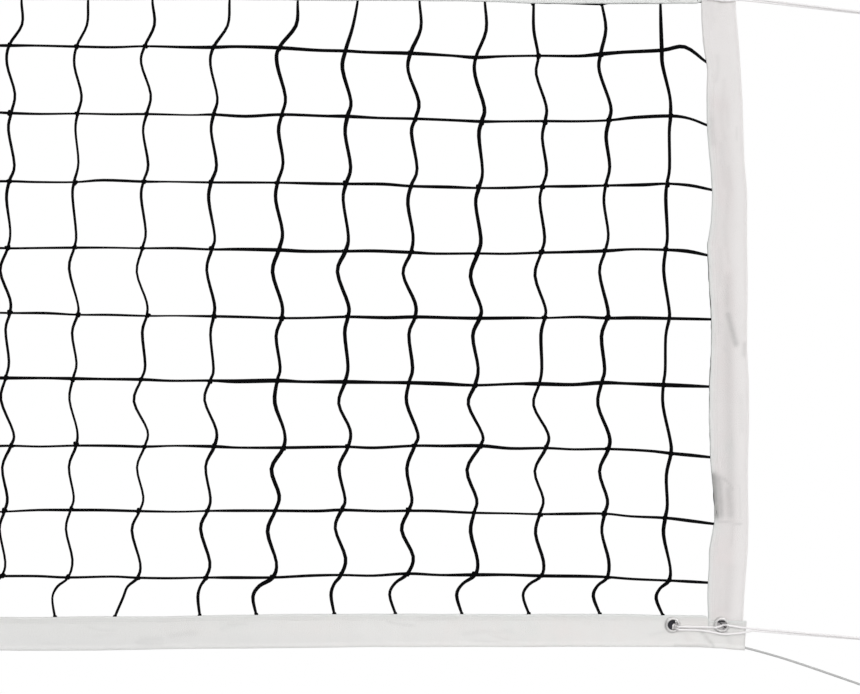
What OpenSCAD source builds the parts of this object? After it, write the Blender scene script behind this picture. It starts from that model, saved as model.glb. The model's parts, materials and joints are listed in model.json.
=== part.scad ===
// Volleyball net on two free-standing telescopic posts, with a geared winch on the right post.
// X runs along the net, Y across it and Z up. The origin is on the floor, midway under the net.

/* [Court] */
// Distance from an end of the netting to the centre of its post
post_gap = 450; // [350:25:700]
// Height of the top edge of the net above the floor
net_top = 2430; // [2400:5:2460]
// Height of the top of the masts above the floor
mast_top = 2550; // [2530:5:2600]

/* [Netting] */
// Length of the netting between its outermost strands
netting_length = 9600; // [6000:200:9600]
// Height of the netting between its top and bottom strands
netting_height = 1000; // [1000:5:1005]
// Distance between neighbouring strands of the plain grid
grid_pitch = 200; // [200:20:400]
// Width and depth of a strand
strand = 4; // [3:0.5:6]

/* [Bands] */
// Height of the top band
top_band_height = 72; // [60:1:80]
// Height of the bottom band
bottom_band_height = 50; // [45:1:60]
// Width of a side band
side_band_width = 56; // [45:1:60]
// Thickness of the canvas, folded in two
band_thickness = 3; // [2:0.5:4]
// Outer radius of the hem that holds the headline
top_hem_r = 5; // [4.5:0.1:7]
// Outer radius of the hem that holds the bottom line
bottom_hem_r = 3.7; // [3.2:0.1:5]
// How far the bands reach past the last strand
band_overhang = 16; // [10:1:25]
// How far the lower edge of the bottom band hangs below the netting
bottom_band_drop = 9; // [6:1:12]

/* [Eyelets] */
// Radius of the hole of an eyelet
eyelet_hole_r = 6.8; // [5:0.1:7.5]
// Radius of the flange of an eyelet
eyelet_flange_r = 11.5; // [11:0.1:13]
// Distance from the end of a band to the outer eyelet
eyelet_inset = 37; // [30:1:45]
// Distance between the two eyelets of a corner
eyelet_spacing = 74; // [60:1:90]
// Distance from an eyelet to the inner edge of its band
eyelet_edge = 15; // [14:0.5:18]

/* [Cords] */
// Radius of the headline
headline_r = 2.5; // [2:0.1:2.7]
// Radius of the bottom line
bottom_line_r = 1.7; // [1.2:0.1:2]
// Radius of a corner tie
tie_r = 3; // [2:0.1:3.2]
// Height of the hooks of the upper corner ties below the top of the net
top_tie_drop = 108; // [105:1:120]
// Height of the hooks of the lower corner ties below the top of the net
bottom_tie_drop = 1050; // [1000:5:1080]
// Height of the hooks of the bottom line below the top of the net
bottom_line_drop = 1174; // [1150:2:1180]

/* [Mast] */
// Outer radius of a mast
mast_r = 32; // [30:0.5:34]
// Wall of a mast
mast_wall = 3; // [2.5:0.5:4]
// Height of the lower end of a mast above the floor
mast_foot = 320; // [310:5:380]
// Radius of the ring of a hook, to the middle of its wire
hook_ring_r = 11.5; // [11:0.1:13]
// Radius of the wire of a hook
hook_wire_r = 3.5; // [3:0.1:4]
// Distance from the face of the mast to the middle of a hook's ring
hook_reach = 18; // [17:0.5:24]

/* [Post tube] */
// Wall of a post tube
tube_wall = 3; // [2.5:0.5:4]
// Height of the upper end of a post tube
tube_top = 985; // [960:5:990]
// Gap between mast and post tube that the guides fill
guide_gap = 3; // [2:0.5:4]
// Height of a guide inside the post tube
guide_height = 60; // [40:5:80]
// Radius of the flange at the foot of a post tube
tube_flange_r = 90; // [82:1:100]
// Thickness of that flange
tube_flange_thickness = 10; // [8:1:14]

/* [Base] */
// Radius of a base
base_r = 350; // [330:5:370]
// Height of the rim of a base
base_rim_height = 30; // [25:1:40]
// Height of a base in the middle
base_crown_height = 62; // [50:1:80]
// Height of a floor pad
pad_height = 10; // [8:1:12]
// Radius of a floor pad
pad_r = 32; // [25:1:38]
// Radius of the circle of the floor anchor holes
anchor_circle_r = 322; // [318:1:326]
// Radius of a floor anchor hole
anchor_hole_r = 7; // [5:0.5:8]
// Radius of a base bolt
base_bolt_r = 6; // [5:0.5:7]

/* [Wheels] */
// Radius of a wheel
wheel_r = 50; // [40:1:55]
// Width of a wheel
wheel_width = 30; // [24:1:36]
// Height of a wheel's lowest point above the floor
wheel_clearance = 6; // [3:1:12]
// Radius of the wheel axle
wheel_axle_r = 8; // [6:0.5:10]

/* [Clamp] */
// Height of the clamp collar
collar_height = 44; // [38:1:56]
// Wall of the clamp collar
collar_wall = 8; // [6:0.5:10]
// Thickness of an ear of the collar
ear_thickness = 12; // [8:0.5:14]
// Width of the slit between the ears
ear_slit = 6; // [4:0.5:10]
// Radius of the clamp bolt
clamp_bolt_r = 4; // [3:0.5:4.5]
// Radius of the cam of the clamp lever
cam_r = 10; // [9.5:0.5:11]
// How far the cam sits off its pivot
cam_offset = 1; // [0.5:0.1:1.5]

/* [Winch] */
// Height of the drum axle below the top of the net
winch_drop = 950; // [930:5:960]
// Radius of the drum core
drum_core_r = 20; // [17:0.5:22]
// Radius of a drum flange
drum_flange_r = 36; // [32:0.5:42]
// Width of the drum between its flanges
drum_width = 44; // [38:1:46]
// Gap between neighbouring turns of headline on the drum
winding_gap = 0.45; // [0.45:0.05:2]
// Size of the gear teeth, as pitch diameter over number of teeth
gear_module = 2; // [1.9:0.05:2.1]
// Width of the drum gear
gear_width = 10; // [6:0.5:11]
// Length of the crank between shaft and grip pin
crank_length = 180; // [140:5:190]
// Length of the crank grip
grip_length = 100; // [80:5:120]
// Radius of the crank grip
grip_r = 15; // [12:0.5:18]
// Radius of the winch axle and the crank shaft
winch_axle_r = 6; // [5:0.5:6.5]

/* [Sheave] */
// Radius at which the headline runs on the sheave, to the middle of the cord
sheave_run_r = 38; // [36:0.5:38]
// Depth of the sheave's flanges outside that radius
sheave_flange = 5; // [3:0.5:5]
// Width of the sheave
sheave_width = 12; // [10:0.5:14]

/* [Hidden] */

// The two sides of the court, as the sign of X.
LEFT = -1;
RIGHT = 1;

round_fn = 64;
small_fn = 32;
cord_sides = 8;
cut = 1;
running_gap = 0.05;
loose_gap = 0.2;
soft_gap = 0.3;

// Colours
steel_grey = [0.62, 0.63, 0.65];
dark_grey = [0.17, 0.18, 0.2];
tube_colour = [0.8, 0.81, 0.82];
mast_colour = [0.74, 0.75, 0.77];
rubber_black = [0.07, 0.07, 0.07];
canvas_white = [0.89, 0.88, 0.87];
netting_black = [0.08, 0.08, 0.1];
line_grey = [0.6, 0.6, 0.6];

// Net
netting_tuck = 33;
post_x = netting_length / 2 + post_gap;
band_end = netting_length / 2 + band_overhang;
headline_z = net_top - top_hem_r;
top_band_z = net_top - top_band_height;
netting_top = top_band_z + netting_tuck;
netting_bottom = netting_top - netting_height;
bottom_edge_z = netting_bottom - bottom_band_drop;
bottom_line_z = bottom_edge_z + bottom_hem_r;
bottom_band_z = bottom_edge_z + bottom_band_height;
side_band_x = band_end - side_band_width;
hem_gap = 0.5;
eyelet_rim = 1;
eyelet_barrel_r = (eyelet_hole_r + eyelet_flange_r) / 2;
inner_eyelet_x = band_end - eyelet_inset - eyelet_spacing;
outer_eyelet_x = band_end - eyelet_inset;
top_eyelet_z = top_band_z + eyelet_edge;
bottom_eyelet_z = bottom_band_z - eyelet_edge;
last_strand = netting_length / 2 - grid_pitch / 2;

// Hooks on the masts, and the loops that hang in them
top_tie_hook_z = net_top - top_tie_drop;
bottom_tie_hook_z = net_top - bottom_tie_drop;
bottom_line_hook_z = net_top - bottom_line_drop;
hook_offset = mast_r + hook_reach;
hook_shank_r = 4;
hook_collar_r = 9;
hook_collar_thickness = 3;
hook_head_r = 7;
hook_head_thickness = 3;
loop_r = hook_ring_r;
end_knot_share = 2.1;
stop_knot_spare = 0.4;
tie_bend = 5;
tie_past_band = 6;
tie_fall_at_band = 3;
line_past_band = 4;

// Mast and post tube
tube_inner_r = mast_r + guide_gap;
tube_r = tube_inner_r + tube_wall;
guide_rim = 4;
mast_cap_height = 14;
mast_cap_plug = 30;
mast_cap_overlap = 2;
mast_cap_shoulder = 4;
mast_cap_bevel = 12;
tube_foot = pad_height + base_crown_height;
tube_slot_width = 4;
tube_slot_depth = 70;

// Base
base_hub_r = 110;
base_flat_r = base_r - 60;
dome_steps = 8;
flange_bolt_count = 6;
flange_bolt_circle_r = (tube_r + tube_flange_r) / 2;
bolt_head_height = 8;
bolt_head_share = 1.7;
first_bolt_angle = 30;
first_anchor_angle = 45;
bolt_depth = 24;
pad_count = 6;
pad_circle_r = base_r - 80;
anchor_count = 4;
rim_top = pad_height + base_rim_height;

// Wheels
wheel_axle_x = base_r + wheel_r;
wheel_axle_z = wheel_clearance + wheel_r;
bracket_plate = 6;
bracket_half_width = 70;
bracket_inner_x = base_r - 50;
bracket_bolt_x = base_r - 25;
bracket_bolt_y = 30;
lug_r = 16;
wheel_side_gap = 1;
wheel_y = bracket_half_width + wheel_side_gap + wheel_width / 2;
axle_head_r = wheel_axle_r + 4;
axle_head = 4;
axle_half_length = wheel_y + wheel_width / 2 + wheel_side_gap;
tyre_depth = 10;
hub_recess = 4;
hub_lip = 7;
hub_slope = 2;
tyre_bevel = 3;
tyre_shoulder = 5;

// Clamp
collar_inner_r = tube_r;
collar_r = collar_inner_r + collar_wall;
collar_top = tube_top - 8;
collar_mid = collar_top - collar_height / 2;
ear_face = ear_slit / 2 + ear_thickness;
ear_reach = 30;
clamp_bolt_x = collar_r + 16;
lever_pivot_y = ear_face + cam_r + cam_offset + loose_gap;
lever_height = 20;
lever_thickness = 8;
lever_gap = 2;
lever_start = 38;
lever_end = 118;
lever_steps = 10;
lever_barrel_r = clamp_bolt_r + 1;
lever_slot_r = cam_r + cam_offset + 2;
lever_slot_height = 2 * clamp_bolt_r + 1.2;
clamp_nut_r = 7.5;
clamp_nut_height = 7;
clamp_bolt_end = 3;

// Sheave
sheave_z = headline_z - sheave_run_r;
sheave_r = sheave_run_r + sheave_flange;
sheave_slot_gap = 1.5;
sheave_axle_r = 6;
sheave_head_r = 9;
sheave_head = 4;
sheave_head_seat = 1.5;
groove_r = headline_r + soft_gap;

// Winch, measured outwards from the centre of the mast and from the drum axle
gear_teeth = 48;
pinion_teeth = 12;
gear_r = gear_module * gear_teeth / 2;
pinion_r = gear_module * pinion_teeth / 2;
tooth_height = 0.85 * gear_module;
tooth_depth = 1.15 * gear_module;
tooth_root_share = 0.32;
tooth_tip_share = 0.11;
gear_side_gap = 0.5;
winch_z = net_top - winch_drop;
saddle_depth = 12;
saddle_half_width = 25;
frame_plate = 4;
frame_face = mast_r + saddle_depth + frame_plate;
frame_top = 58;
frame_bottom = 88;
gear_clearance = 4;
drum_x = frame_face + gear_r + tooth_height + gear_clearance;
crank_drop = gear_r + pinion_r;
frame_inner_y = drum_width / 2 + 14;
frame_outer_y = frame_inner_y + frame_plate;
drum_flange = 3;
drum_shift = 3;
drum_front = drum_shift - drum_width / 2;
drum_back = drum_shift + drum_width / 2;
drum_side_gap = 0.4;
drum_hub_r = 14;
gear_y = drum_front - drum_flange - gear_width / 2 - gear_side_gap;
frame_disc_r = 56;
frame_nose_r = 28;
cheek_shoulder = 2;
rivet_end = 1;
winch_head_r = 9;
winch_head = 4;
winch_bolt_r = 4;
winch_bolt_head_r = 7;
winch_bolt_head = 5;
winch_bolt_end = 2;
upper_winch_bolt_z = 44;
lower_winch_bolt_z = -76;
winding_span = drum_width - 2 * (headline_r + soft_gap);
winding_turns = floor(winding_span / (2 * headline_r + winding_gap));
winding_pitch = winding_span / winding_turns;
winding_r = drum_core_r + headline_r + soft_gap;
winding_steps = 24;
winding_sides = 6;
cord_run_off = 18;
ratchet_teeth = 12;
ratchet_r = 20;
ratchet_root_r = 16;
ratchet_width = 6;
ratchet_slant = 2;
ratchet_gap = 4;
ratchet_front = frame_outer_y + ratchet_gap;
pawl_pivot_r = 31;
pawl_pivot_angle = 110;
pawl_tooth_angle = 60;
pawl_boss_r = 6;
pawl_pin_r = 3;
pawl_rest_lift = 12;
pin_head_share = 1.8;
pin_head = 2;
pin_play = 0.4;
arm_gap = 6;
arm_front = ratchet_front + ratchet_width + arm_gap;
arm_thickness = 8;
arm_half_width = 11;
arm_boss_r = 14;
grip_pin_r = 5;
grip_gap = 1;
grip_head_share = 1.6;
grip_head = 3;
grip_shoulder = 4;
grip_waist = 1.5;
grip_waist_from_end = 14;
grip_front = arm_front + arm_thickness + grip_gap;

function unit(v) = v / norm(v);

// Middle of the loop of a cord that is pulled tight in the ring of a hook.
function loop_x(radius) =
    post_x - hook_offset - hook_ring_r + hook_wire_r + radius + soft_gap - loop_r;

// A point at a radius and an angle in the plane.
function polar(radius, angle) = radius * [cos(angle), sin(angle)];

// A tube swept along a list of points; reference is a direction that the tube never runs along.
module sweep_tube(points, radius, reference, sides = cord_sides) {
    last = len(points) - 1;
    rings = [
        for (i = [0 : last])
            let (
                along = unit(points[min(i + 1, last)] - points[max(i - 1, 0)]),
                across = unit(cross(along, reference)),
                up = cross(across, along)
            )
            for (s = [0 : sides - 1])
                points[i] + radius * (cos(360 * s / sides) * across + sin(360 * s / sides) * up)
    ];
    walls = [
        for (i = [0 : last - 1], s = [0 : sides - 1])
            let (a = i * sides + s, b = i * sides + (s + 1) % sides)
            for (face = [[a, b, b + sides], [a, b + sides, a + sides]]) face
    ];
    first_cap = [for (s = [1 : sides - 2]) [0, s + 1, s]];
    last_cap = [for (s = [1 : sides - 2]) [last * sides, last * sides + s, last * sides + s + 1]];
    polyhedron(rings, concat(walls, first_cap, last_cap));
}

// Places a piece of a post, whose own X points away from the net.
module at_post(side) {
    translate([side * post_x, 0, 0])
        mirror([side < 0 ? 1 : 0, 0, 0])
            children();
}

// A straight cylinder along Y between two places.
module rod_y(radius, from, to, fn = round_fn) {
    translate([0, to, 0])
        rotate([90, 0, 0])
            cylinder(r = radius, h = to - from, $fn = fn);
}

// A straight cylinder along X between two places.
module rod_x(radius, from, to, fn = round_fn) {
    translate([from, 0, 0])
        rotate([0, 90, 0])
            cylinder(r = radius, h = to - from, $fn = fn);
}

// An outline drawn in X and Z, as thick as the span from one Y to another.
module plate_y(from, to) {
    translate([0, to, 0])
        rotate([90, 0, 0])
            linear_extrude(to - from)
                children();
}

// ---- Net ----

// Flat grid of strands between the four bands.
module netting() {
    color(netting_black)
        plate_y(-strand / 2, strand / 2)
            difference() {
                translate([-side_band_x, bottom_band_z])
                    square([2 * side_band_x, top_band_z - bottom_band_z]);
                for (x = [-last_strand - grid_pitch : grid_pitch : last_strand])
                    for (z = [netting_bottom - grid_pitch / 2 : grid_pitch : netting_top - grid_pitch / 2])
                        mesh_gap(x, z);
            }
}

// One gap of the grid, cut off where a band covers it.
module mesh_gap(x, z) {
    low_x = max(x + strand / 2, -side_band_x + strand);
    high_x = min(x + grid_pitch - strand / 2, side_band_x - strand);
    low_z = max(z + strand / 2, bottom_band_z + strand);
    high_z = min(z + grid_pitch - strand / 2, top_band_z - strand);
    translate([low_x, low_z])
        square([high_x - low_x, high_z - low_z]);
}

// Holes for the eyelets, through every band.
module eyelet_holes() {
    for (side = [LEFT, RIGHT], x = [inner_eyelet_x, outer_eyelet_x], z = [top_eyelet_z, bottom_eyelet_z])
        translate([side * x, 0, z])
            rod_y(eyelet_barrel_r, -band_thickness, band_thickness, small_fn);
}

// Band of folded canvas along X with a round hem along its outer edge.
module long_band(low, high, hem_z, hem_r, line_r) {
    color(canvas_white)
        difference() {
            translate([-band_end, 0, 0])
                rotate([90, 0, 90])
                    linear_extrude(2 * band_end)
                        difference() {
                            union() {
                                translate([-band_thickness / 2, low])
                                    square([band_thickness, high - low]);
                                translate([0, hem_z])
                                    circle(r = hem_r, $fn = small_fn);
                            }
                            translate([0, hem_z])
                                circle(r = line_r + hem_gap, $fn = small_fn);
                        }
            eyelet_holes();
        }
}

module top_band() {
    long_band(top_band_z, headline_z, headline_z, top_hem_r, headline_r);
}

module bottom_band() {
    long_band(bottom_line_z, bottom_band_z, bottom_line_z, bottom_hem_r, bottom_line_r);
}

module side_band(side) {
    low_x = side > 0 ? side_band_x : -band_end;
    color(canvas_white)
        translate([low_x, -band_thickness / 2, bottom_band_z])
            cube([side_band_width, band_thickness, top_band_z - bottom_band_z]);
}

// Rolled metal rings, two at each corner of the net.
module eyelets() {
    color(steel_grey)
        for (side = [LEFT, RIGHT], x = [inner_eyelet_x, outer_eyelet_x], z = [top_eyelet_z, bottom_eyelet_z])
            translate([side * x, 0, z])
                rotate([90, 0, 0])
                    eyelet();
}

module eyelet() {
    half = band_thickness / 2;
    rotate_extrude($fn = small_fn)
        polygon([
            [eyelet_hole_r, -half - eyelet_rim],
            [eyelet_flange_r, -half - eyelet_rim / 2],
            [eyelet_flange_r, -half],
            [eyelet_barrel_r - soft_gap, -half],
            [eyelet_barrel_r - soft_gap, half],
            [eyelet_flange_r, half],
            [eyelet_flange_r, half + eyelet_rim / 2],
            [eyelet_hole_r, half + eyelet_rim]
        ]);
}

// Loop at the end of a line, through the ring of a hook, with the knot that closes it.
module end_loop(side, z, radius) {
    translate([side * loop_x(radius), 0, z])
        rotate_extrude($fn = small_fn)
            translate([loop_r, 0])
                circle(r = radius, $fn = small_fn / 2);
    translate([side * (loop_x(radius) - loop_r - radius), 0, z])
        sphere(r = end_knot_share * radius, $fn = small_fn);
}

// Angle on the sheave at which the headline leaves it for the drum.
drum_gap = [drum_x, winch_z - sheave_z];
leave_angle = atan2(drum_gap[1], drum_gap[0]) + acos((sheave_run_r + winding_r) / norm(drum_gap));
drum_touch = drum_gap - polar(winding_r, leave_angle);
sheave_leave = polar(sheave_run_r, leave_angle);
run_off_point = drum_touch + cord_run_off * unit(sheave_leave - drum_touch);
sheave_steps = 10;

// Headline from the hook on the left mast, through the top hem, over the sheave and down to the drum.
headline_route = concat(
    [[-loop_x(headline_r) + loop_r, 0, headline_z]],
    [
        for (i = [0 : sheave_steps])
            let (p = polar(sheave_run_r, 90 + (leave_angle - 90) * i / sheave_steps))
                [post_x + p[0], 0, sheave_z + p[1]]
    ],
    [[post_x + run_off_point[0], 0, sheave_z + run_off_point[1]]]
);

module headline() {
    color(line_grey) {
        sweep_tube(headline_route, headline_r, [0, 1, 0]);
        end_loop(LEFT, headline_z, headline_r);
    }
}

// Bottom line through the bottom hem, down to a hook on each mast.
bottom_line_route = [
    [-loop_x(bottom_line_r) + loop_r, 0, bottom_line_hook_z],
    [-band_end - line_past_band, 0, bottom_line_z],
    [band_end + line_past_band, 0, bottom_line_z],
    [loop_x(bottom_line_r) - loop_r, 0, bottom_line_hook_z]
];

module bottom_line() {
    color(line_grey) {
        sweep_tube(bottom_line_route, bottom_line_r, [0, 1, 0]);
        end_loop(LEFT, bottom_line_hook_z, bottom_line_r);
        end_loop(RIGHT, bottom_line_hook_z, bottom_line_r);
    }
}

// Tie from a knot behind the inner eyelet, through it and over the face of the band to its hook.
module corner_tie(side, eyelet_z, hook_z) {
    face_y = -band_thickness / 2 - eyelet_rim - tie_r - soft_gap;
    knot_r = eyelet_hole_r + stop_knot_spare;
    knot_y = band_thickness / 2 + eyelet_rim + knot_r;
    route = [
        [inner_eyelet_x, knot_y, eyelet_z],
        [inner_eyelet_x, 0, eyelet_z],
        [inner_eyelet_x + 0.3 * tie_bend, face_y + 0.3 * tie_bend, eyelet_z],
        [inner_eyelet_x + tie_bend, face_y, eyelet_z],
        [band_end + tie_past_band, face_y, eyelet_z - tie_fall_at_band],
        [loop_x(tie_r) - loop_r, 0, hook_z]
    ];
    mirror([side < 0 ? 1 : 0, 0, 0]) {
        sweep_tube(route, tie_r, [0, 0, 1]);
        translate(route[0])
            sphere(r = knot_r, $fn = small_fn);
        end_loop(RIGHT, hook_z, tie_r);
    }
}

module corner_ties(side) {
    color(canvas_white) {
        corner_tie(side, top_eyelet_z, top_tie_hook_z);
        corner_tie(side, bottom_eyelet_z, bottom_tie_hook_z);
    }
}

// ---- Base ----

// Height of the domed top at a distance from the middle.
function dome_z(radius) =
    let (share = (radius - base_hub_r) / (base_flat_r - base_hub_r))
        pad_height + base_crown_height - (base_crown_height - base_rim_height) * share * share;

module base(side) {
    dome = [
        for (i = [0 : dome_steps])
            let (radius = base_hub_r + (base_flat_r - base_hub_r) * i / dome_steps)
                [radius, dome_z(radius)]
    ];
    outline = concat(
        [[0, pad_height], [base_r, pad_height], [base_r, rim_top]],
        [for (i = [dome_steps : -1 : 0]) dome[i]],
        [[0, pad_height + base_crown_height]]
    );
    color(dark_grey)
        at_post(side)
            difference() {
                rotate_extrude($fn = round_fn)
                    polygon(outline);
                flange_bolt_places()
                    translate([0, 0, tube_foot - bolt_depth])
                        cylinder(r = base_bolt_r + loose_gap, h = bolt_depth + cut, $fn = small_fn);
                bracket_bolt_places()
                    translate([0, 0, rim_top - bolt_depth])
                        cylinder(r = base_bolt_r + loose_gap, h = bolt_depth + cut, $fn = small_fn);
                for (i = [0 : anchor_count - 1])
                    rotate(first_anchor_angle + 360 * i / anchor_count)
                        translate([anchor_circle_r, 0, pad_height - cut])
                            cylinder(r = anchor_hole_r, h = base_rim_height + 2 * cut, $fn = small_fn);
            }
}

module flange_bolt_places() {
    for (i = [0 : flange_bolt_count - 1])
        rotate(first_bolt_angle + 360 * i / flange_bolt_count)
            translate([flange_bolt_circle_r, 0, 0])
                children();
}

module bracket_bolt_places() {
    for (y = [-bracket_bolt_y, bracket_bolt_y])
        translate([bracket_bolt_x, y, 0])
            children();
}

module floor_pads(side) {
    color(rubber_black)
        at_post(side)
            for (i = [0 : pad_count - 1])
                rotate(360 * i / pad_count)
                    translate([pad_circle_r, 0, 0])
                        cylinder(r = pad_r, h = pad_height, $fn = small_fn);
}

// Hexagon bolts of the post flange and of the wheel bracket.
module base_bolts(side) {
    color(steel_grey)
        at_post(side) {
            flange_bolt_places()
                translate([0, 0, tube_foot])
                    base_bolt(tube_flange_thickness);
            bracket_bolt_places()
                translate([0, 0, rim_top])
                    base_bolt(bracket_plate);
        }
}

// One bolt through a plate that lies on the level Z = 0.
module base_bolt(plate) {
    translate([0, 0, plate])
        cylinder(r = bolt_head_share * base_bolt_r, h = bolt_head_height, $fn = 6);
    translate([0, 0, cut - bolt_depth])
        cylinder(r = base_bolt_r, h = bolt_depth + plate, $fn = small_fn);
}

// ---- Post tube and clamp ----

module post_tube(side) {
    color(tube_colour)
        at_post(side)
            difference() {
                union() {
                    translate([0, 0, tube_foot])
                        cylinder(r = tube_r, h = tube_top - tube_foot, $fn = round_fn);
                    translate([0, 0, tube_foot])
                        cylinder(r = tube_flange_r, h = tube_flange_thickness, $fn = round_fn);
                }
                translate([0, 0, tube_foot + tube_flange_thickness])
                    cylinder(r = tube_inner_r, h = tube_top, $fn = round_fn);
                flange_bolt_places()
                    translate([0, 0, tube_foot - cut])
                        cylinder(r = base_bolt_r + loose_gap, h = tube_flange_thickness + 2 * cut, $fn = small_fn);
                translate([0, -tube_slot_width / 2, tube_top - tube_slot_depth])
                    cube([2 * tube_r, tube_slot_width, tube_slot_depth + cut]);
            }
}

// Plastic bush in the mouth of the post tube, in which the mast slides.
module upper_guide(side) {
    color(rubber_black)
        at_post(side)
            difference() {
                union() {
                    translate([0, 0, tube_top - guide_height])
                        cylinder(r = tube_inner_r, h = guide_height, $fn = round_fn);
                    translate([0, 0, tube_top])
                        cylinder(r = tube_r, h = guide_rim, $fn = round_fn);
                }
                translate([0, 0, tube_top - guide_height - cut])
                    cylinder(r = mast_r + running_gap, h = guide_height + guide_rim + 2 * cut, $fn = round_fn);
            }
}

// Split collar that pinches the slotted mouth of the post tube.
module clamp_collar(side) {
    color(dark_grey)
        at_post(side)
            difference() {
                translate([0, 0, collar_top - collar_height])
                    linear_extrude(collar_height)
                        difference() {
                            union() {
                                circle(r = collar_r, $fn = round_fn);
                                translate([0, -ear_face])
                                    square([collar_r + ear_reach, 2 * ear_face]);
                            }
                            circle(r = collar_inner_r, $fn = round_fn);
                            translate([0, -ear_slit / 2])
                                square([collar_r + ear_reach + cut, ear_slit]);
                        }
                translate([clamp_bolt_x, 0, collar_mid])
                    rod_y(clamp_bolt_r + loose_gap, -ear_face - cut, ear_face + cut, small_fn);
            }
}

// Tension bolt with its cross barrel and its nut.
module clamp_bolt(side) {
    color(steel_grey)
        at_post(side)
            translate([clamp_bolt_x, 0, collar_mid]) {
                rod_y(clamp_bolt_r, -lever_pivot_y, ear_face + clamp_nut_height + clamp_bolt_end, small_fn);
                rod_y(clamp_nut_r, ear_face, ear_face + clamp_nut_height, 6);
                translate([0, -lever_pivot_y, -lever_height / 2])
                    cylinder(r = lever_barrel_r, h = lever_height, $fn = small_fn);
            }
}

// Cam lever that lies round the collar when it is shut.
module clamp_lever(side) {
    color(rubber_black)
        at_post(side)
            difference() {
                translate([0, 0, collar_mid - lever_height / 2])
                    linear_extrude(lever_height)
                        lever_outline();
                translate([clamp_bolt_x, -lever_pivot_y, collar_mid - lever_height])
                    cylinder(r = lever_barrel_r + running_gap, h = 2 * lever_height, $fn = small_fn);
                translate([clamp_bolt_x, -lever_pivot_y, collar_mid - lever_slot_height / 2])
                    cylinder(r = lever_slot_r, h = lever_slot_height, $fn = small_fn);
            }
}

module lever_outline() {
    inner_r = collar_r + lever_gap;
    outer_r = inner_r + lever_thickness;
    step = (lever_end - lever_start) / lever_steps;
    translate([clamp_bolt_x, -lever_pivot_y + cam_offset])
        circle(r = cam_r, $fn = small_fn);
    polygon(concat(
        [
            [clamp_bolt_x - 3, -lever_pivot_y - cam_r + 3],
            [clamp_bolt_x - cam_r + 2, -lever_pivot_y + 1]
        ],
        [for (i = [0 : lever_steps]) polar(inner_r, -lever_start - i * step)],
        [for (i = [lever_steps : -1 : 1]) polar(outer_r, -lever_start - i * step)]
    ));
}

// ---- Wheels ----

module wheel_bracket(side) {
    color(dark_grey)
        at_post(side)
            difference() {
                union() {
                    translate([bracket_inner_x, -bracket_half_width, rim_top])
                        cube([base_r - bracket_inner_x, 2 * bracket_half_width, bracket_plate]);
                    for (y = [-bracket_half_width, bracket_half_width - bracket_plate])
                        plate_y(y, y + bracket_plate) {
                            translate([bracket_inner_x, rim_top])
                                square([wheel_axle_x - bracket_inner_x, 2 * lug_r]);
                            translate([wheel_axle_x, wheel_axle_z])
                                circle(r = lug_r, $fn = small_fn);
                        }
                }
                translate([wheel_axle_x, 0, wheel_axle_z])
                    rod_y(wheel_axle_r, -wheel_y, wheel_y);
                bracket_bolt_places()
                    translate([0, 0, rim_top - cut])
                        cylinder(r = base_bolt_r + loose_gap, h = bracket_plate + 2 * cut, $fn = small_fn);
            }
}

module wheel_axle(side) {
    color(steel_grey)
        at_post(side)
            translate([wheel_axle_x, 0, wheel_axle_z]) {
                rod_y(wheel_axle_r, -axle_half_length, axle_half_length);
                rod_y(axle_head_r, axle_half_length, axle_half_length + axle_head, small_fn);
                rod_y(axle_head_r, -axle_half_length - axle_head, -axle_half_length, small_fn);
            }
}

module wheel(side, y) {
    half = wheel_width / 2;
    color(rubber_black)
        at_post(side)
            translate([wheel_axle_x, y, wheel_axle_z])
                rotate([90, 0, 0])
                    rotate_extrude($fn = round_fn)
                        polygon([
                            [wheel_axle_r + running_gap, -half],
                            [wheel_axle_r + hub_lip, -half],
                            [wheel_axle_r + hub_lip + hub_slope, -half + hub_recess],
                            [wheel_r - tyre_depth - hub_slope, -half + hub_recess],
                            [wheel_r - tyre_depth, -half],
                            [wheel_r - tyre_bevel, -half],
                            [wheel_r, -half + tyre_shoulder],
                            [wheel_r, half - tyre_shoulder],
                            [wheel_r - tyre_bevel, half],
                            [wheel_r - tyre_depth, half],
                            [wheel_r - tyre_depth - hub_slope, half - hub_recess],
                            [wheel_axle_r + hub_lip + hub_slope, half - hub_recess],
                            [wheel_axle_r + hub_lip, half],
                            [wheel_axle_r + running_gap, half]
                        ]);
}

// ---- Mast ----

// Places a hook: its own Z points away from the mast, towards the net.
module at_hook(z) {
    translate([-mast_r, 0, z])
        rotate([0, -90, 0])
            children();
}

module hook_levels(levels) {
    for (z = levels)
        at_hook(z)
            children();
}

left_hook_levels = [headline_z, top_tie_hook_z, bottom_tie_hook_z, bottom_line_hook_z];
right_hook_levels = [top_tie_hook_z, bottom_tie_hook_z, bottom_line_hook_z];

module mast_body(levels) {
    difference() {
        translate([0, 0, mast_foot])
            cylinder(r = mast_r, h = mast_top - mast_foot, $fn = round_fn);
        translate([0, 0, mast_foot - cut])
            cylinder(r = mast_r - mast_wall, h = mast_top - mast_foot + 2 * cut, $fn = round_fn);
        hook_levels(levels)
            translate([0, 0, -mast_wall - 2])
                cylinder(r = hook_shank_r, h = mast_wall + 4, $fn = small_fn);
    }
}

module left_mast() {
    color(mast_colour)
        at_post(LEFT)
            mast_body(left_hook_levels);
}

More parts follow.
